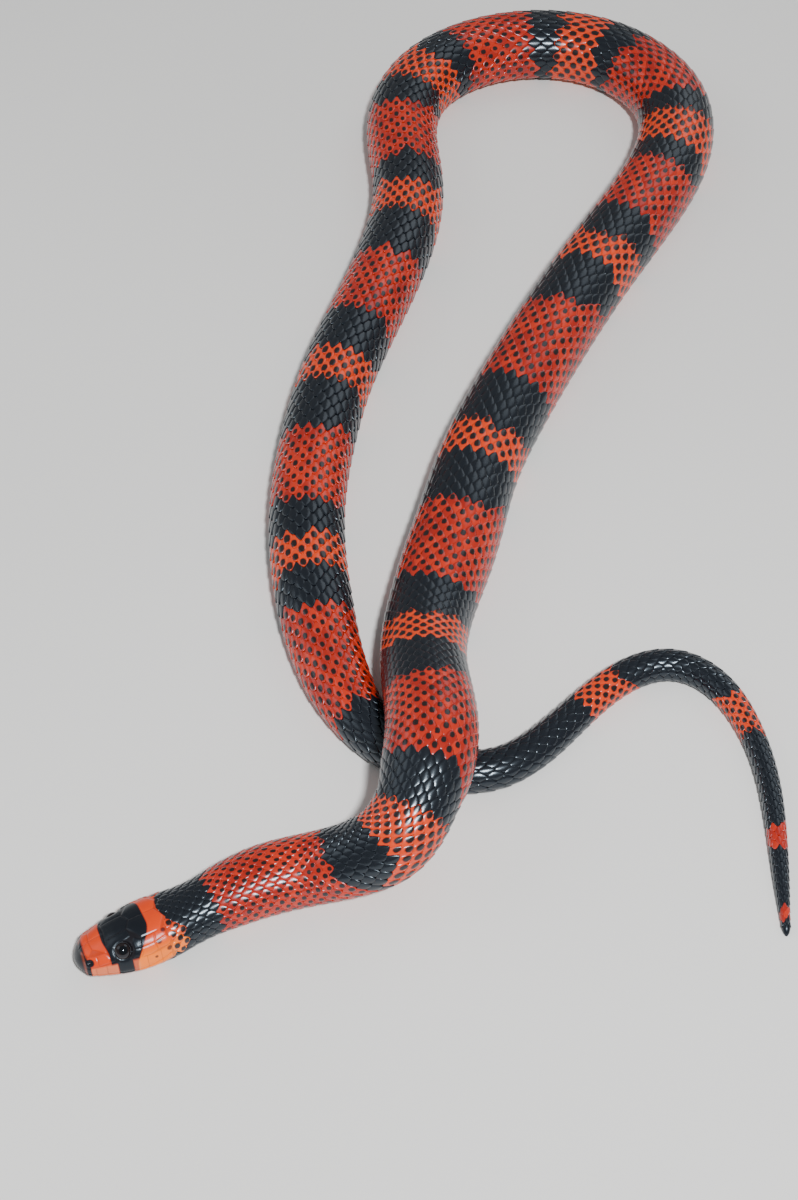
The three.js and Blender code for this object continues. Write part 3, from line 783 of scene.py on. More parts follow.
def skin_mesh():
    """The whole skin as one closed mesh."""
    head_s, body_s = skin_rings()
    head_points, s_head, round_head = ring_points(head_s, HEAD_COLUMNS)
    normals = grid_normals(head_points)
    shape = head_points.shape
    flat, groove = sculpt_head(
        head_points.reshape(-1, 3), normals.reshape(-1, 3), s_head.ravel(), round_head.ravel()
    )
    flat[:, 2] = np.maximum(flat[:, 2], 0)
    head_points = flat.reshape(shape)
    body_points, s_body, round_body = ring_points(body_s, BODY_COLUMNS)
    nose = head_points[0].mean(axis=0)
    tip = body_points[-1].mean(axis=0)
    points = np.concatenate([flat, body_points.reshape(-1, 3), [nose, tip]])
    s_all = np.concatenate([s_head.ravel(), s_body.ravel(), [END_MARGIN, TOTAL - END_MARGIN]])
    round_all = np.concatenate([round_head.ravel(), round_body.ravel(), [0, 0]])
    groove = np.concatenate([groove, np.zeros(s_body.size + 2)])

    def quads(rings, columns, first):
        """Faces between rings of points, and the ring and column of each corner."""
        r, c = np.meshgrid(np.arange(rings - 1), np.arange(columns), indexing="ij")
        here = first + r * columns
        corners = [here + c, here + (c + 1) % columns]
        below = [here + columns + (c + 1) % columns, here + columns + c]
        place = [(r, c), (r, c + 1), (r + 1, c + 1), (r + 1, c)]
        return np.stack(corners + below, -1).reshape(-1, 4), place

    def head_uv(s, share):
        """Place on the unwrap's upper half, for the head."""
        return np.stack([0.01 + 0.98 * (share + 1) / 2, 0.5 + 0.49 * s / HEAD_MESH_ENDS], -1)

    def body_uv(s, share):
        """Place on the unwrap's lower half, for the body."""
        return strip_uv(s, share, HEAD_MESH_ENDS, TOTAL, 6, 0.0, 0.49)

    def grid_uv(s, place, columns, chart):
        """Places on the unwrap for the corners of faces between rings."""
        corners = [chart(s[r], -1 + 2 * c / columns) for r, c in place]
        return np.stack(corners, -2).reshape(-1, 2)

    def fan(middle, first, columns, s, chart, turn):
        """Faces that close one end of the skin, and their places on the unwrap."""
        c = np.arange(columns)
        pair = (c + turn, c + 1 - turn)
        corners = [np.full(c.shape, middle)] + [first + at % columns for at in pair]
        shares = [np.zeros(c.shape)] + [-1 + 2 * at / columns for at in pair]
        places = [chart(np.full(c.shape, s), share) for share in shares]
        return np.stack(corners, -1), np.stack(places, -2).reshape(-1, 2)

    head_faces, place = quads(len(head_s), HEAD_COLUMNS, 0)
    uv = [grid_uv(head_s, place, HEAD_COLUMNS, head_uv)]
    first = head_points.shape[0] * HEAD_COLUMNS
    body_faces, place = quads(len(body_s), BODY_COLUMNS, first)
    uv.append(grid_uv(body_s, place, BODY_COLUMNS, body_uv))
    times = HEAD_COLUMNS // BODY_COLUMNS
    c = np.arange(BODY_COLUMNS)
    last = first - HEAD_COLUMNS
    fine = [last + (c * times + i) % HEAD_COLUMNS for i in range(times + 1)]
    join = np.stack([*fine, first + (c + 1) % BODY_COLUMNS, first + c], -1)
    ends = [-1 + 2 * (c + i / times) / BODY_COLUMNS for i in range(times + 1)]
    join_uv = [body_uv(np.full(c.shape, HEAD_MESH_ENDS), share) for share in ends]
    join_uv += [body_uv(np.full(c.shape, body_s[0]), -1 + 2 * (c + i) / BODY_COLUMNS) for i in (1, 0)]
    uv.append(np.stack(join_uv, -2).reshape(-1, 2))
    count = len(points)
    front, front_uv = fan(count - 2, 0, HEAD_COLUMNS, 0.0, head_uv, 1)
    rear, rear_uv = fan(count - 1, count - 2 - BODY_COLUMNS, BODY_COLUMNS, TOTAL, body_uv, 0)
    uv += [front_uv, rear_uv]
    faces = [head_faces, body_faces, join, front, rear]
    values = markings(s_all, round_all)
    values["groove"] = groove
    values["tone"] = 0.5 + 0.5 * wave(s_all * 0.7 + round_all, 3)
    return make_mesh("snake_skin", points, faces, np.concatenate(uv), values)


# Scales.
def plate_faces(rows, columns):
    """Border of a grid of points, and the faces of the grid, its walls and its underside."""
    index = np.arange(rows * columns).reshape(rows, columns)
    border = np.concatenate([index[0, :-1], index[:-1, -1], index[-1, :0:-1], index[:0:-1, 0]])
    skirt = rows * columns + np.arange(len(border))
    r, c = np.meshgrid(np.arange(rows - 1), np.arange(columns - 1), indexing="ij")
    top = np.stack([index[r, c], index[r + 1, c], index[r + 1, c + 1], index[r, c + 1]], -1)
    beside = np.roll(np.arange(len(border)), -1)
    wall = np.stack([border, border[beside], skirt[beside], skirt], -1)
    return border, [top.reshape(-1, 4), wall, skirt[None, :]]


def scale_outline(lie):
    """Half width of a scale from its root at -1 to its tip at 1, as a share of the row pitch."""
    return np.clip(1 - np.abs(lie) ** 1.5, 0, 1) ** (1 / 1.35)


def scale_template():
    """Grid of one scale: lie from root to tip, side, height and faces, closed below."""
    rows, columns = PLATE_ROWS, PLATE_COLUMNS
    lie = np.concatenate([np.linspace(*PLATE_EVEN_PART, rows - len(PLATE_TIP_LIES)), PLATE_TIP_LIES])
    side = np.linspace(-1, 1, columns)
    lie_grid, side_grid = np.meshgrid(lie, side, indexing="ij")
    across = side_grid * scale_outline(lie_grid)
    ahead = (lie_grid + 1) / 2
    height = SCALE_ROOT + SCALE_SLOPE * ahead**0.75 - SCALE_TIP_DROP * ahead**5 - SCALE_DOME * side_grid**2
    border, faces = plate_faces(rows, columns)
    return {
        "lie": np.concatenate([lie_grid.ravel(), lie_grid.ravel()[border] * SKIRT_SHARE]),
        "side": np.concatenate([across.ravel(), across.ravel()[border] * SKIRT_SHARE]),
        "height": np.concatenate([height.ravel(), np.full(len(border), SCALE_SKIRT)]),
        "faces": faces,
    }


def scale_places():
    """Middle, row and length of every scale of the back and sides, from the neck to the tail's tip."""
    s = np.arange(GULAR_STARTS, TOTAL, COUNT_STEP)
    count = np.concatenate([[0], np.cumsum(COUNT_STEP / along(SCALE_LENGTHS, 1, s))[:-1]])
    places = []
    for half in range(int(count[-1] * 2)):
        at = np.array(float(np.interp(half / 2, count, s)))
        rows = int(half_girth(at) / row_pitch(at)) + 2
        for row in range(-rows, rows + 1):
            round_, width = row_place(at, row)
            reach = half_girth(at) - scute_half(at) + ROW_OVERLAP * width
            if (row + half) % 2 == 0 and abs(round_) < reach:
                places.append((at, round_, row, along(SCALE_LENGTHS, 1, at)))
    places = np.array(places, float)
    starts = np.interp(np.abs(places[:, 1]), *np.array(COAT_STARTS).T)
    return places[(places[:, 0] > starts) & (places[:, 0] < TOTAL - BARE_TIP)]


def lay_scales(name, places, template, first, last):
    """One joined mesh of scales on the body between two distances from the nose."""
    rng = np.random.default_rng(RANDOM_SEED + int(first))
    s0, round0, row, length = places.T
    n, m = len(places), len(template["lie"])
    tone = rng.random(n)
    lie, side, height = template["lie"], template["side"], template["height"]
    depth = np.maximum(coat_depth(s0), THIN_SCALE)[:, None]
    s = np.clip(s0[:, None] + lie * length[:, None] * SCALE_REACH, 0.1, TOTAL - 0.1)
    middle, width = row_place(s, row[:, None])
    limit = half_girth(s) * 0.999
    round_ = np.clip(middle + side * width * 0.99, -limit, limit)
    uneven = 1 + SCALE_UNEVEN * (tone[:, None] - 0.5)
    lift = (height - 1) * depth * uneven + depth - coat_depth(s0)[:, None]
    points = on_body(s.ravel(), round_.ravel(), lift.ravel())
    points[:, 2] = np.maximum(points[:, 2], 0)
    faces = [(block[None] + np.arange(n)[:, None, None] * m).reshape(-1, block.shape[1])
             for block in template["faces"]]
    share = round0 / half_girth(s0)
    root = strip_uv(s0, share, first, last, 3, 0.0, 1.0)
    patch = np.stack([lie * PATCH / 2, side * PATCH / 2], -1)
    uv_points = (root[:, None, :] + patch[None]).reshape(-1, 2)
    uv = np.concatenate([uv_points[block.ravel()] for block in faces])
    marks = markings(s0 + length * 0.1, round0)
    on_flank = 1 - smooth(np.abs(round0) / back_edge(s0), *SPOTS_FADE)
    sizes = marks["red"] * RED_SPOT + marks["orange"] * ORANGE_SPOT
    plain = smooth(s0, *TAIL_PLAIN)
    spot = (0.9 + 0.2 * rng.random(n)) * sizes * on_flank * (1 - plain)
    values = {key: np.repeat(value, m) for key, value in marks.items()}
    values |= {
        "tone": np.repeat(tone, m), "spot": np.repeat(spot, m),
        "lie": np.tile((lie + 1) / 2, n), "side": np.tile(side, n),
    }
    return make_mesh(name, points, faces, uv, values)


def scute_places():
    """Middle and length of every belly scute."""
    places = []
    at = FIRST_SCUTE - 1
    while at < TOTAL - 5:
        length = float(along(SCALE_LENGTHS, 1, np.array(at)))
        places.append((at, length))
        at += length
    return np.array(places)


def lay_scutes():
    """The broad belly scutes, single to the vent and in pairs under the tail."""
    border, plate = plate_faces(len(SCUTE_LIES), SCUTE_COLUMNS)
    plate = [block[:, [0, 3, 2, 1]] for block in plate[:2]] + [plate[2][:, ::-1]]
    points, faces, uv, values = [], [[], [], []], [[], [], []], []
    blocks = []
    for at, length in scute_places():
        halves = [(-1, 1)] if at < VENT else [(-1, HALVES_OVERLAP), (-HALVES_OVERLAP, 1)]
        blocks += [(at, length, low, high) for low, high in halves]
    rng = np.random.default_rng(RANDOM_SEED)
    for at, length, low, high in blocks:
        side = np.linspace(low, high, SCUTE_COLUMNS)
        lie_grid, side_grid = np.meshgrid(SCUTE_LIES, side, indexing="ij")
        bow = SCUTE_BOW * (1 - side_grid**2)
        s = at + length * (lie_grid * SCUTE_REACH + bow * (lie_grid > 0.3))
        offset = side_grid * scute_half(s) * (1 - SCUTE_NARROWING * np.abs(lie_grid) ** 3)
        round_ = np.sign(offset + 1e-9) * (half_girth(s) - np.abs(offset))
        depth = np.maximum(coat_depth(np.full(s.shape, at)), THIN_SCALE)
        edge = np.abs((side_grid - low) / (high - low) * 2 - 1) ** 6
        height = SCUTE_ROOT + 0.9 * (lie_grid + 1) / 2 - SCUTE_EDGE_DROP * edge
        top = on_body(s, round_, (height - 1) * depth)
        top[..., 2] = np.maximum(top[..., 2], 0)
        under = on_body(s, round_, SCUTE_SKIRT * depth).reshape(-1, 3)[border]
        start = sum(len(p) for p in points)
        share = half_girth(at) / 40
        root = strip_uv(np.array([at]), np.array([0.0]), 0, 1000, 5, 0.0, 1.0)[0]
        patch_lie = np.concatenate([lie_grid.ravel(), lie_grid.ravel()[border]])
        patch_side = np.concatenate([side_grid.ravel(), side_grid.ravel()[border]])
        flat = root + np.stack([patch_lie * length / 500, patch_side * share * 0.07], -1)
        for i, block in enumerate(plate):
            faces[i].append(block + start)
            uv[i].append(flat[block.ravel()])
        points.append(np.concatenate([top.reshape(-1, 3), under]))
        marks = markings(s.ravel(), round_.ravel())
        marks = {k: np.concatenate([v, v[border]]) for k, v in marks.items()}
        marks["tone"] = np.full(len(points[-1]), rng.random())
        marks["spot"] = np.zeros(len(points[-1]))
        marks["lie"] = (patch_lie + 1) / 2
        marks["side"] = patch_side * 0.5
        values.append(marks)
    joined = {key: np.concatenate([v[key] for v in values]) for key in values[0]}
    uv_all = np.concatenate([np.concatenate(group) for group in uv])
    face_blocks = [np.concatenate(group) for group in faces]
    return make_mesh("belly_scutes", np.concatenate(points), face_blocks, uv_all, joined)


def eye_mesh(name, side):
    """An eyeball whose pole looks outward."""
    rings, columns = EYE_RINGS, EYE_COLUMNS
    centre, out = eye_centre(side)
    _, forward, _, _ = head_frame()
    ahead = forward - out * (forward @ out)
    ahead /= np.linalg.norm(ahead)
    beside = np.cross(out, ahead)
    turn = np.linspace(0, np.pi, rings + 1)[1:-1]
    spin = np.linspace(0, 2 * np.pi, columns, endpoint=False)
    t, a = np.meshgrid(turn, spin, indexing="ij")
    ways = (np.cos(t)[..., None] * out + (np.sin(t) * np.cos(a))[..., None] * ahead
            + (np.sin(t) * np.sin(a))[..., None] * beside).reshape(-1, 3)
    ways = np.concatenate([ways, [out, -out]])
    r, c = np.meshgrid(np.arange(rings - 2), np.arange(columns), indexing="ij")
    faces = np.stack([r * columns + c, (r + 1) * columns + c, (r + 1) * columns + (c + 1) % columns,
                      r * columns + (c + 1) % columns], -1).reshape(-1, 4)
    c = np.arange(columns)
    last = (rings - 2) * columns
    caps = np.concatenate([
        np.stack([np.full(columns, len(ways) - 2), c, (c + 1) % columns], -1),
        np.stack([np.full(columns, len(ways) - 1), last + (c + 1) % columns, last + c], -1),
    ])
    blocks = [faces, caps]
    across, upward = ways @ ahead, ways @ beside
    stretch = np.arccos(np.clip(ways @ out, -1, 1)) / np.pi
    scale = 0.49 * stretch / np.maximum(np.hypot(across, upward), 1e-6)
    flat = np.stack([0.5 + across * scale, 0.5 + upward * scale], -1)
    uv = np.concatenate([flat[block.ravel()] for block in blocks])
    return make_mesh(f"snake_eye_{name}", centre + ways * EYE_RADIUS, blocks, uv, {"gaze": ways @ out})


# Node groups and materials.
def new_group(name, inputs, outputs):
    """An empty shader node group with named inputs and outputs."""
    group = bpy.data.node_groups.new(name, "ShaderNodeTree")
    for title, kind, value in inputs:
        socket = group.interface.new_socket(name=title, in_out="INPUT", socket_type=kind)
        if value is not None:
            socket.default_value = value
    for title, kind in outputs:
        group.interface.new_socket(name=title, in_out="OUTPUT", socket_type=kind)
    return group, group.nodes.new("NodeGroupInput"), group.nodes.new("NodeGroupOutput")


def feed(tree, socket, value):
    """Gives a socket a number or a colour, or links it to another socket."""
    if isinstance(value, (int, float, tuple)):
        socket.default_value = value
    else:
        tree.links.new(value, socket)


def add_math(tree, operation, a, b=None):
    """A math node; each argument is a socket or a number."""
    node = tree.nodes.new("ShaderNodeMath")
    node.operation = operation
    for socket, value in zip(node.inputs, (a, b)):
        if value is not None:
            feed(tree, socket, value)
    return node.outputs[0]


def add_mix(tree, factor, a, b):
    """A colour mix node; each colour is a socket or a tuple."""
    node = tree.nodes.new("ShaderNodeMix")
    node.data_type = "RGBA"
    for place, value in ((0, factor), (6, a), (7, b)):
        feed(tree, node.inputs[place], value)
    return node.outputs[2]


def add_range(tree, value, low, high, to_low=0.0, to_high=1.0):
    """A smooth step between two values."""
    node = tree.nodes.new("ShaderNodeMapRange")
    node.interpolation_type = "SMOOTHSTEP"
    for socket, item in zip(node.inputs, (value, low, high, to_low, to_high)):
        feed(tree, socket, item)
    return node.outputs[0]


def add_noise(tree, scale, detail=2.0):
    """Noise over the object's own coordinates."""
    coordinates = tree.nodes.new("ShaderNodeTexCoord")
    node = tree.nodes.new("ShaderNodeTexNoise")
    node.inputs["Scale"].default_value = scale
    node.inputs["Detail"].default_value = detail
    tree.links.new(coordinates.outputs["Object"], node.inputs["Vector"])
    return node.outputs["Fac"]


def read_value(tree, name):
    """A named value of the mesh."""
    node = tree.nodes.new("ShaderNodeAttribute")
    node.attribute_name = name
    return node.outputs["Fac"]


def ring_colour_group():
    """Colours of the rings: black, red and orange, paler under the belly, uneven from scale to scale."""
    group, given, made = new_group(
        "Ring Colours",
        [("Red Share", "NodeSocketFloat", 0), ("Orange Share", "NodeSocketFloat", 0),
         ("Bright Share", "NodeSocketFloat", 0), ("Pale Share", "NodeSocketFloat", 0),
         ("Tone", "NodeSocketFloat", 0.5),
         ("Black", "NodeSocketColor", None), ("Red", "NodeSocketColor", None),
         ("Deep Red", "NodeSocketColor", None), ("Orange", "NodeSocketColor", None),
         ("Cheek", "NodeSocketColor", None), ("Pale", "NodeSocketColor", None)],
        [("Color", "NodeSocketColor")],
    )
    g = given.outputs
    blotch = add_noise(group, 90.0, 3.0)
    tone = add_math(group, "ADD", add_math(group, "MULTIPLY", g["Tone"], 0.5), blotch)
    red = add_mix(group, add_range(group, tone, 0.45, 1.05), g["Deep Red"], g["Red"])
    colour = add_mix(group, g["Red Share"], g["Black"], red)
    orange = add_mix(group, add_range(group, tone, 0.2, 1.2, 0.0, 0.35), g["Orange"], g["Red"])
    orange = add_mix(group, g["Bright Share"], orange, g["Cheek"])
    colour = add_mix(group, g["Orange Share"], colour, orange)
    coloured = add_math(group, "MAXIMUM", g["Red Share"], g["Orange Share"])
    pale = add_math(group, "MULTIPLY", coloured, g["Pale Share"])
    group.links.new(add_mix(group, pale, colour, g["Pale"]), made.inputs["Color"])
    return group


def tip_spot_group():
    """A dark spot near the tip of a scale, larger where Size is larger, with an uneven edge."""
    group, given, made = new_group(
        "Tip Spot",
        [("Lie", "NodeSocketFloat", 0), ("Side", "NodeSocketFloat", 0), ("Size", "NodeSocketFloat", 0)],
        [("Mask", "NodeSocketFloat")],
    )
    g = given.outputs
    ahead = add_math(group, "DIVIDE", add_math(group, "SUBTRACT", g["Lie"], TIP_SPOT_AT), TIP_SPOT_LENGTH)
    across = add_math(group, "DIVIDE", g["Side"], TIP_SPOT_WIDTH)
    powers = [
        add_math(group, "POWER", add_math(group, "ABSOLUTE", part), TIP_SPOT_SQUARE)
        for part in (ahead, across)
    ]
    reach = add_math(group, "POWER", add_math(group, "ADD", *powers), 1 / TIP_SPOT_SQUARE)
    rough = add_math(group, "MULTIPLY", add_math(group, "SUBTRACT", add_noise(group, 1400.0), 0.5), 0.4)
    edge = add_math(group, "ADD", reach, rough)
    low = add_math(group, "MULTIPLY", g["Size"], TIP_SPOT_EDGE[0])
    high = add_math(group, "ADD", add_math(group, "MULTIPLY", g["Size"], TIP_SPOT_EDGE[1]), 0.02)
    dark = add_math(group, "SUBTRACT", 1.0, add_range(group, edge, low, high))
    present = add_range(group, g["Size"], 0.05, 0.2)
    group.links.new(add_math(group, "MULTIPLY", dark, present), made.inputs["Mask"])
    return group


def skin_grain_group():
    """Fine grain of horn: a height for bump and an uneven roughness."""
    group, given, made = new_group(
        "Horn Grain",
        [("Roughness", "NodeSocketFloat", 0.3), ("Unevenness", "NodeSocketFloat", 0.1)],
        [("Height", "NodeSocketFloat"), ("Roughness", "NodeSocketFloat")],
    )
    g = given.outputs
    fine = add_noise(group, 5200.0, 2.0)
    broad = add_noise(group, 600.0, 2.0)
    uneven = add_math(group, "MULTIPLY", add_math(group, "SUBTRACT", broad, 0.5), g["Unevenness"])
    group.links.new(add_math(group, "ADD", g["Roughness"], uneven), made.inputs["Roughness"])
    height = add_math(group, "ADD", fine, add_math(group, "MULTIPLY", broad, 0.6))
    group.links.new(height, made.inputs["Height"])
    return group


def shared_group(name, maker):
    """A node group by its name, made the first time that it is asked for."""
    return bpy.data.node_groups.get(name) or maker()


def new_material(name):
    """A node material with its tree and its shader."""
    material = bpy.data.materials.new(name)
    material.use_nodes = True
    tree = material.node_tree
    return material, tree, tree.nodes["Principled BSDF"]


def snake_material(name, roughness, shine, spots, grooves):
    """Ringed snake skin: shared colours, optional tip spots, optional dark grooves, and grain."""
    colours = bpy.context.scene.snake_colours
    material, tree, shader = new_material(name)

    def place(group):
        """Puts a node group into the material."""
        node = tree.nodes.new("ShaderNodeGroup")
        node.node_tree = group
        return node

    rings = place(shared_group("Ring Colours", ring_colour_group))
    for title, value in (("Red Share", "red"), ("Orange Share", "orange"), ("Bright Share", "bright"),
                         ("Pale Share", "pale"), ("Tone", "tone")):
        tree.links.new(read_value(tree, value), rings.inputs[title])
    for title, colour in (("Black", colours.black), ("Red", colours.red), ("Deep Red", colours.deep_red),
                          ("Orange", colours.orange), ("Cheek", colours.cheek), ("Pale", colours.pale)):
        rings.inputs[title].default_value = colour
    colour = rings.outputs["Color"]
    if spots:
        spot = place(shared_group("Tip Spot", tip_spot_group))
        for title, value in (("Lie", "lie"), ("Side", "side"), ("Size", "spot")):
            tree.links.new(read_value(tree, value), spot.inputs[title])
        colour = add_mix(tree, spot.outputs["Mask"], colour, tuple(colours.spot))
    if grooves:
        seam = add_math(tree, "MULTIPLY", read_value(tree, "groove"), SEAM_DARKNESS)
        colour = add_mix(tree, seam, colour, tuple(colours.spot))
    tree.links.new(colour, shader.inputs["Base Color"])
    grain = place(shared_group("Horn Grain", skin_grain_group))
    grain.inputs["Roughness"].default_value = roughness
    tree.links.new(grain.outputs["Roughness"], shader.inputs["Roughness"])
    shader.inputs["Specular IOR Level"].default_value = shine
    shader.inputs["Specular Tint"].default_value = SKIN_SHINE_TINT
    bump = tree.nodes.new("ShaderNodeBump")
    bump.inputs["Strength"].default_value = GRAIN_BUMP
    bump.inputs["Distance"].default_value = GRAIN_HEIGHT
    tree.links.new(grain.outputs["Height"], bump.inputs["Height"])
    tree.links.new(bump.outputs["Normal"], shader.inputs["Normal"])
    return material


def eye_material():
    """A wet, very dark eye with a round pupil and a thin iris."""
    colours = bpy.context.scene.snake_colours
    material, tree, shader = new_material("snake_eye")
    gaze = read_value(tree, "gaze")
    flecks = add_range(tree, add_noise(tree, 2600.0), 0.3, 0.7)
    iris = add_mix(tree, flecks, tuple(colours.iris), tuple(colours.spot))
    ring = add_range(tree, gaze, *PUPIL_EDGE)
    colour = add_mix(tree, ring, iris, tuple(colours.pupil))
    tree.links.new(colour, shader.inputs["Base Color"])
    shader.inputs["Roughness"].default_value = EYE_ROUGHNESS
    shader.inputs["Specular Tint"].default_value = EYE_SHINE_TINT
    return material


def floor_material():
    """A plain pale floor with a faint unevenness."""
    material, tree, shader = new_material("stage_floor")
    tone = add_range(tree, add_noise(tree, 3.0), 0.3, 0.7)
    colour = add_mix(tree, tone, *FLOOR_TONES)
    tree.links.new(colour, shader.inputs["Base Color"])
    shader.inputs["Roughness"].default_value = FLOOR_ROUGHNESS
    return material


# Settings, operators and panel.
def colour_property(name, description, default):
    """A colour setting that a user can change."""
    return bpy.props.FloatVectorProperty(
        name=name, description=description, default=(*default, 1.0), size=4, min=0, max=1, subtype="COLOR"
    )


class SnakeColours(bpy.types.PropertyGroup):
    """Colours of the snake."""

    black: colour_property("Black rings", "Colour of the black rings and the cap", (0.005, 0.006, 0.009))
    red: colour_property("Red rings", "Brighter red of the rings", (0.5, 0.024, 0.004))
    deep_red: colour_property("Deep red", "Darker red of the rings", (0.3, 0.011, 0.003))
    orange: colour_property("Orange rings", "Colour of the narrow rings", (0.68, 0.05, 0.002))
    cheek: colour_property("Cheek", "Brighter orange of the cheeks", (1, 0.2, 0.002))
    pale: colour_property("Lips and belly", "Paler colour of lips and belly", (0.85, 0.34, 0.15))
    spot: colour_property("Spots", "Colour of the spot on each scale", (0.014, 0.006, 0.004))
    iris: colour_property("Iris", "Colour of the thin iris", (0.008, 0.006, 0.007))
    pupil: colour_property("Pupil", "Colour of the round pupil", (0.002, 0.002, 0.003))


class SnakeStage(bpy.types.PropertyGroup):
    """Sizes and strengths of the stage."""

    floor_size: bpy.props.FloatProperty(
        name="Floor", description="Width of the floor", default=9.0, unit="LENGTH"
    )
    key_power: bpy.props.FloatProperty(
        name="Key light", description="Power of the key light", default=20.0, unit="POWER"
    )
    fill_power: bpy.props.FloatProperty(
        name="Fill light", description="Power of the fill lights", default=3.0, unit="POWER"
    )
    camera_distance: bpy.props.FloatProperty(
        name="Camera distance", description="From the camera to the point it looks at",
        default=0.62698, unit="LENGTH",
    )
    camera_elevation: bpy.props.FloatProperty(
        name="Camera elevation", description="Angle of the camera above the floor",
        default=np.radians(50), subtype="ANGLE", unit="ROTATION",
    )
    camera_lens: bpy.props.FloatProperty(
        name="Lens", description="Focal length on the long side of the picture", default=67.18, unit="CAMERA"
    )


FLESH = ["head", "lower_jaw", "neck"] + [f"body_{i:02d}" for i in range(1, 10)]
FLESH += [f"tail_{i:02d}" for i in range(1, 4)]
LOOK_AT = Vector((-0.0128, -0.0668, 0.0))


class MILKSNAKE_OT_skin(bpy.types.Operator):
    """One skin over the whole snake, with the shields of the head"""

    bl_idname = "milksnake.skin"
    bl_label = "Skin"

    def execute(self, context):
        material = snake_material("snake_skin", SKIN_ROUGHNESS, SKIN_SHINE, spots=False, grooves=True)
        finish_piece(skin_mesh(), material, FLESH)
        return {"FINISHED"}


class MILKSNAKE_OT_eyes(bpy.types.Operator):
    """Both eyes, as glossy balls set in the skin"""

    bl_idname = "milksnake.eyes"
    bl_label = "Eyes"

    def execute(self, context):
        material = eye_material()
        for name, side in (("left", 1), ("right", -1)):
            finish_piece(eye_mesh(name, side), material, [f"eye_{name}"])
        return {"FINISHED"}


class MILKSNAKE_OT_back_scales(bpy.types.Operator):
    """The smooth scales of the back and sides, each a closed plate that overlaps the next"""

    bl_idname = "milksnake.back_scales"
    bl_label = "Back scales"

    def execute(self, context):
        material = snake_material("snake_scales", SCALE_ROUGHNESS, SCALE_SHINE, spots=True, grooves=False)
        places = scale_places()
        template = scale_template()
        for name, first, last in COAT_PIECES:
            here = places[(places[:, 0] >= first) & (places[:, 0] < last)]
            piece = lay_scales(name, here, template, first, last)
            finish_piece(piece, material)
        return {"FINISHED"}


class MILKSNAKE_OT_belly_scutes(bpy.types.Operator):
    """The broad scutes of the belly, in pairs under the tail"""

    bl_idname = "milksnake.belly_scutes"
    bl_label = "Belly scutes"

    def execute(self, context):
        material = snake_material("snake_scutes", SCUTE_ROUGHNESS, SCALE_SHINE, spots=True, grooves=False)
        finish_piece(lay_scutes(), material)
        return {"FINISHED"}


def add_area_light(name, place, size, power):
    """A soft round light that shines at the middle of the floor."""
    light = bpy.data.lights.new(name, "AREA")
    light.shape, light.size, light.energy = "DISK", size, power
    lamp = bpy.data.objects.new(name, light)
    lamp.location = place
    lamp.rotation_euler = (-Vector(place)).to_track_quat("-Z", "Y").to_euler()
    bpy.context.scene.collection.objects.link(lamp)


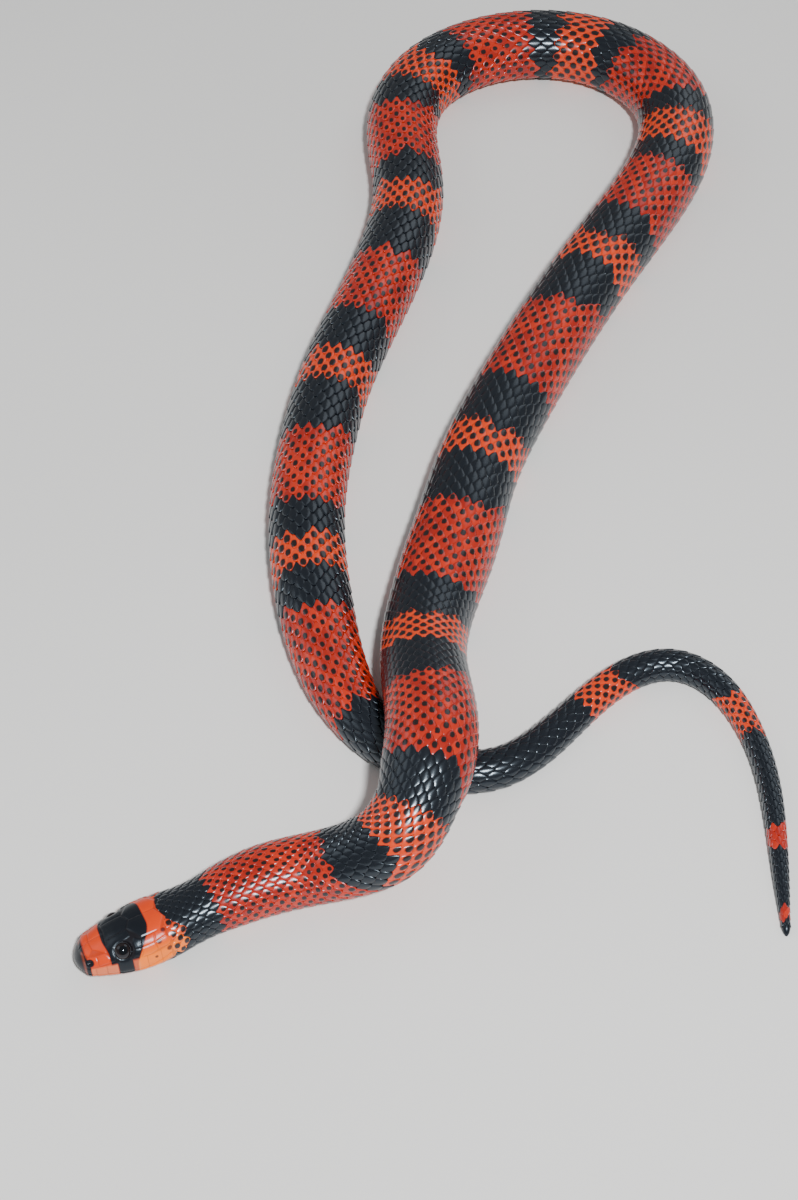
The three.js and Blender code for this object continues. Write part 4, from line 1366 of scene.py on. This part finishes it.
class MILKSNAKE_OT_stage(bpy.types.Operator):
    """A plain pale floor, soft lights and the camera"""

    bl_idname = "milksnake.stage"
    bl_label = "Stage"

    def execute(self, context):
        stage = context.scene.snake_stage
        half = stage.floor_size / 2
        mesh = bpy.data.meshes.new("stage_floor")
        corners = [(-half, -half, 0), (half, -half, 0), (half, half, 0), (-half, half, 0)]
        mesh.from_pydata(corners, [], [(0, 1, 2, 3)])
        floor = bpy.data.objects.new("stage_floor", mesh)
        floor.data.materials.append(floor_material())
        context.scene.collection.objects.link(floor)
        world = bpy.data.worlds.new("stage_world")
        world.use_nodes = True
        world.node_tree.nodes["Background"].inputs["Color"].default_value = (1, 1, 1, 1)
        world.node_tree.nodes["Background"].inputs["Strength"].default_value = SKY_STRENGTH
        context.scene.world = world
        add_area_light("key_light", KEY_PLACE, KEY_SIZE, stage.key_power)
        add_area_light("left_fill", LEFT_FILL_PLACE, FILL_SIZE, stage.fill_power)
        add_area_light("back_fill", BACK_FILL_PLACE, FILL_SIZE, stage.fill_power)
        camera_data = bpy.data.cameras.new("camera")
        camera_data.lens = stage.camera_lens
        camera_data.clip_start = CAMERA_SEES_FROM
        camera = bpy.data.objects.new("camera", camera_data)
        rise = stage.camera_elevation
        away = Vector((0, -np.cos(rise), np.sin(rise)))
        camera.location = LOOK_AT + away * stage.camera_distance
        camera.rotation_euler = (-away).to_track_quat("-Z", "Y").to_euler()
        context.scene.collection.objects.link(camera)
        context.scene.camera = camera
        return {"FINISHED"}


OPERATORS = (
    MILKSNAKE_OT_stage, MILKSNAKE_OT_skin, MILKSNAKE_OT_eyes,
    MILKSNAKE_OT_back_scales, MILKSNAKE_OT_belly_scutes,
)


class MILKSNAKE_PT_panel(bpy.types.Panel):
    """Lists the pieces of the snake"""

    bl_label = "Milk Snake"
    bl_idname = "MILKSNAKE_PT_panel"
    bl_space_type = "VIEW_3D"
    bl_region_type = "UI"
    bl_category = "Milk Snake"

    def draw(self, context):
        for operator in OPERATORS:
            self.layout.operator(operator.bl_idname)
        for settings in (context.scene.snake_colours, context.scene.snake_stage):
            for name in settings.__annotations__:
                self.layout.prop(settings, name)


CLASSES = (SnakeColours, SnakeStage, *OPERATORS, MILKSNAKE_PT_panel)


def register():
    """Registers the settings, the operators and the panel."""
    for cls in CLASSES:
        bpy.utils.register_class(cls)
    bpy.types.Scene.snake_colours = bpy.props.PointerProperty(type=SnakeColours)
    bpy.types.Scene.snake_stage = bpy.props.PointerProperty(type=SnakeStage)


def unregister():
    """Takes back what register did."""
    del bpy.types.Scene.snake_stage
    del bpy.types.Scene.snake_colours
    for cls in reversed(CLASSES):
        bpy.utils.unregister_class(cls)


def main():
    """Builds the snake on its stage."""
    register()
    bpy.ops.milksnake.stage()
    bpy.ops.milksnake.skin()
    bpy.ops.milksnake.eyes()
    bpy.ops.milksnake.back_scales()
    bpy.ops.milksnake.belly_scutes()


if __name__ == "__main__":
    main()
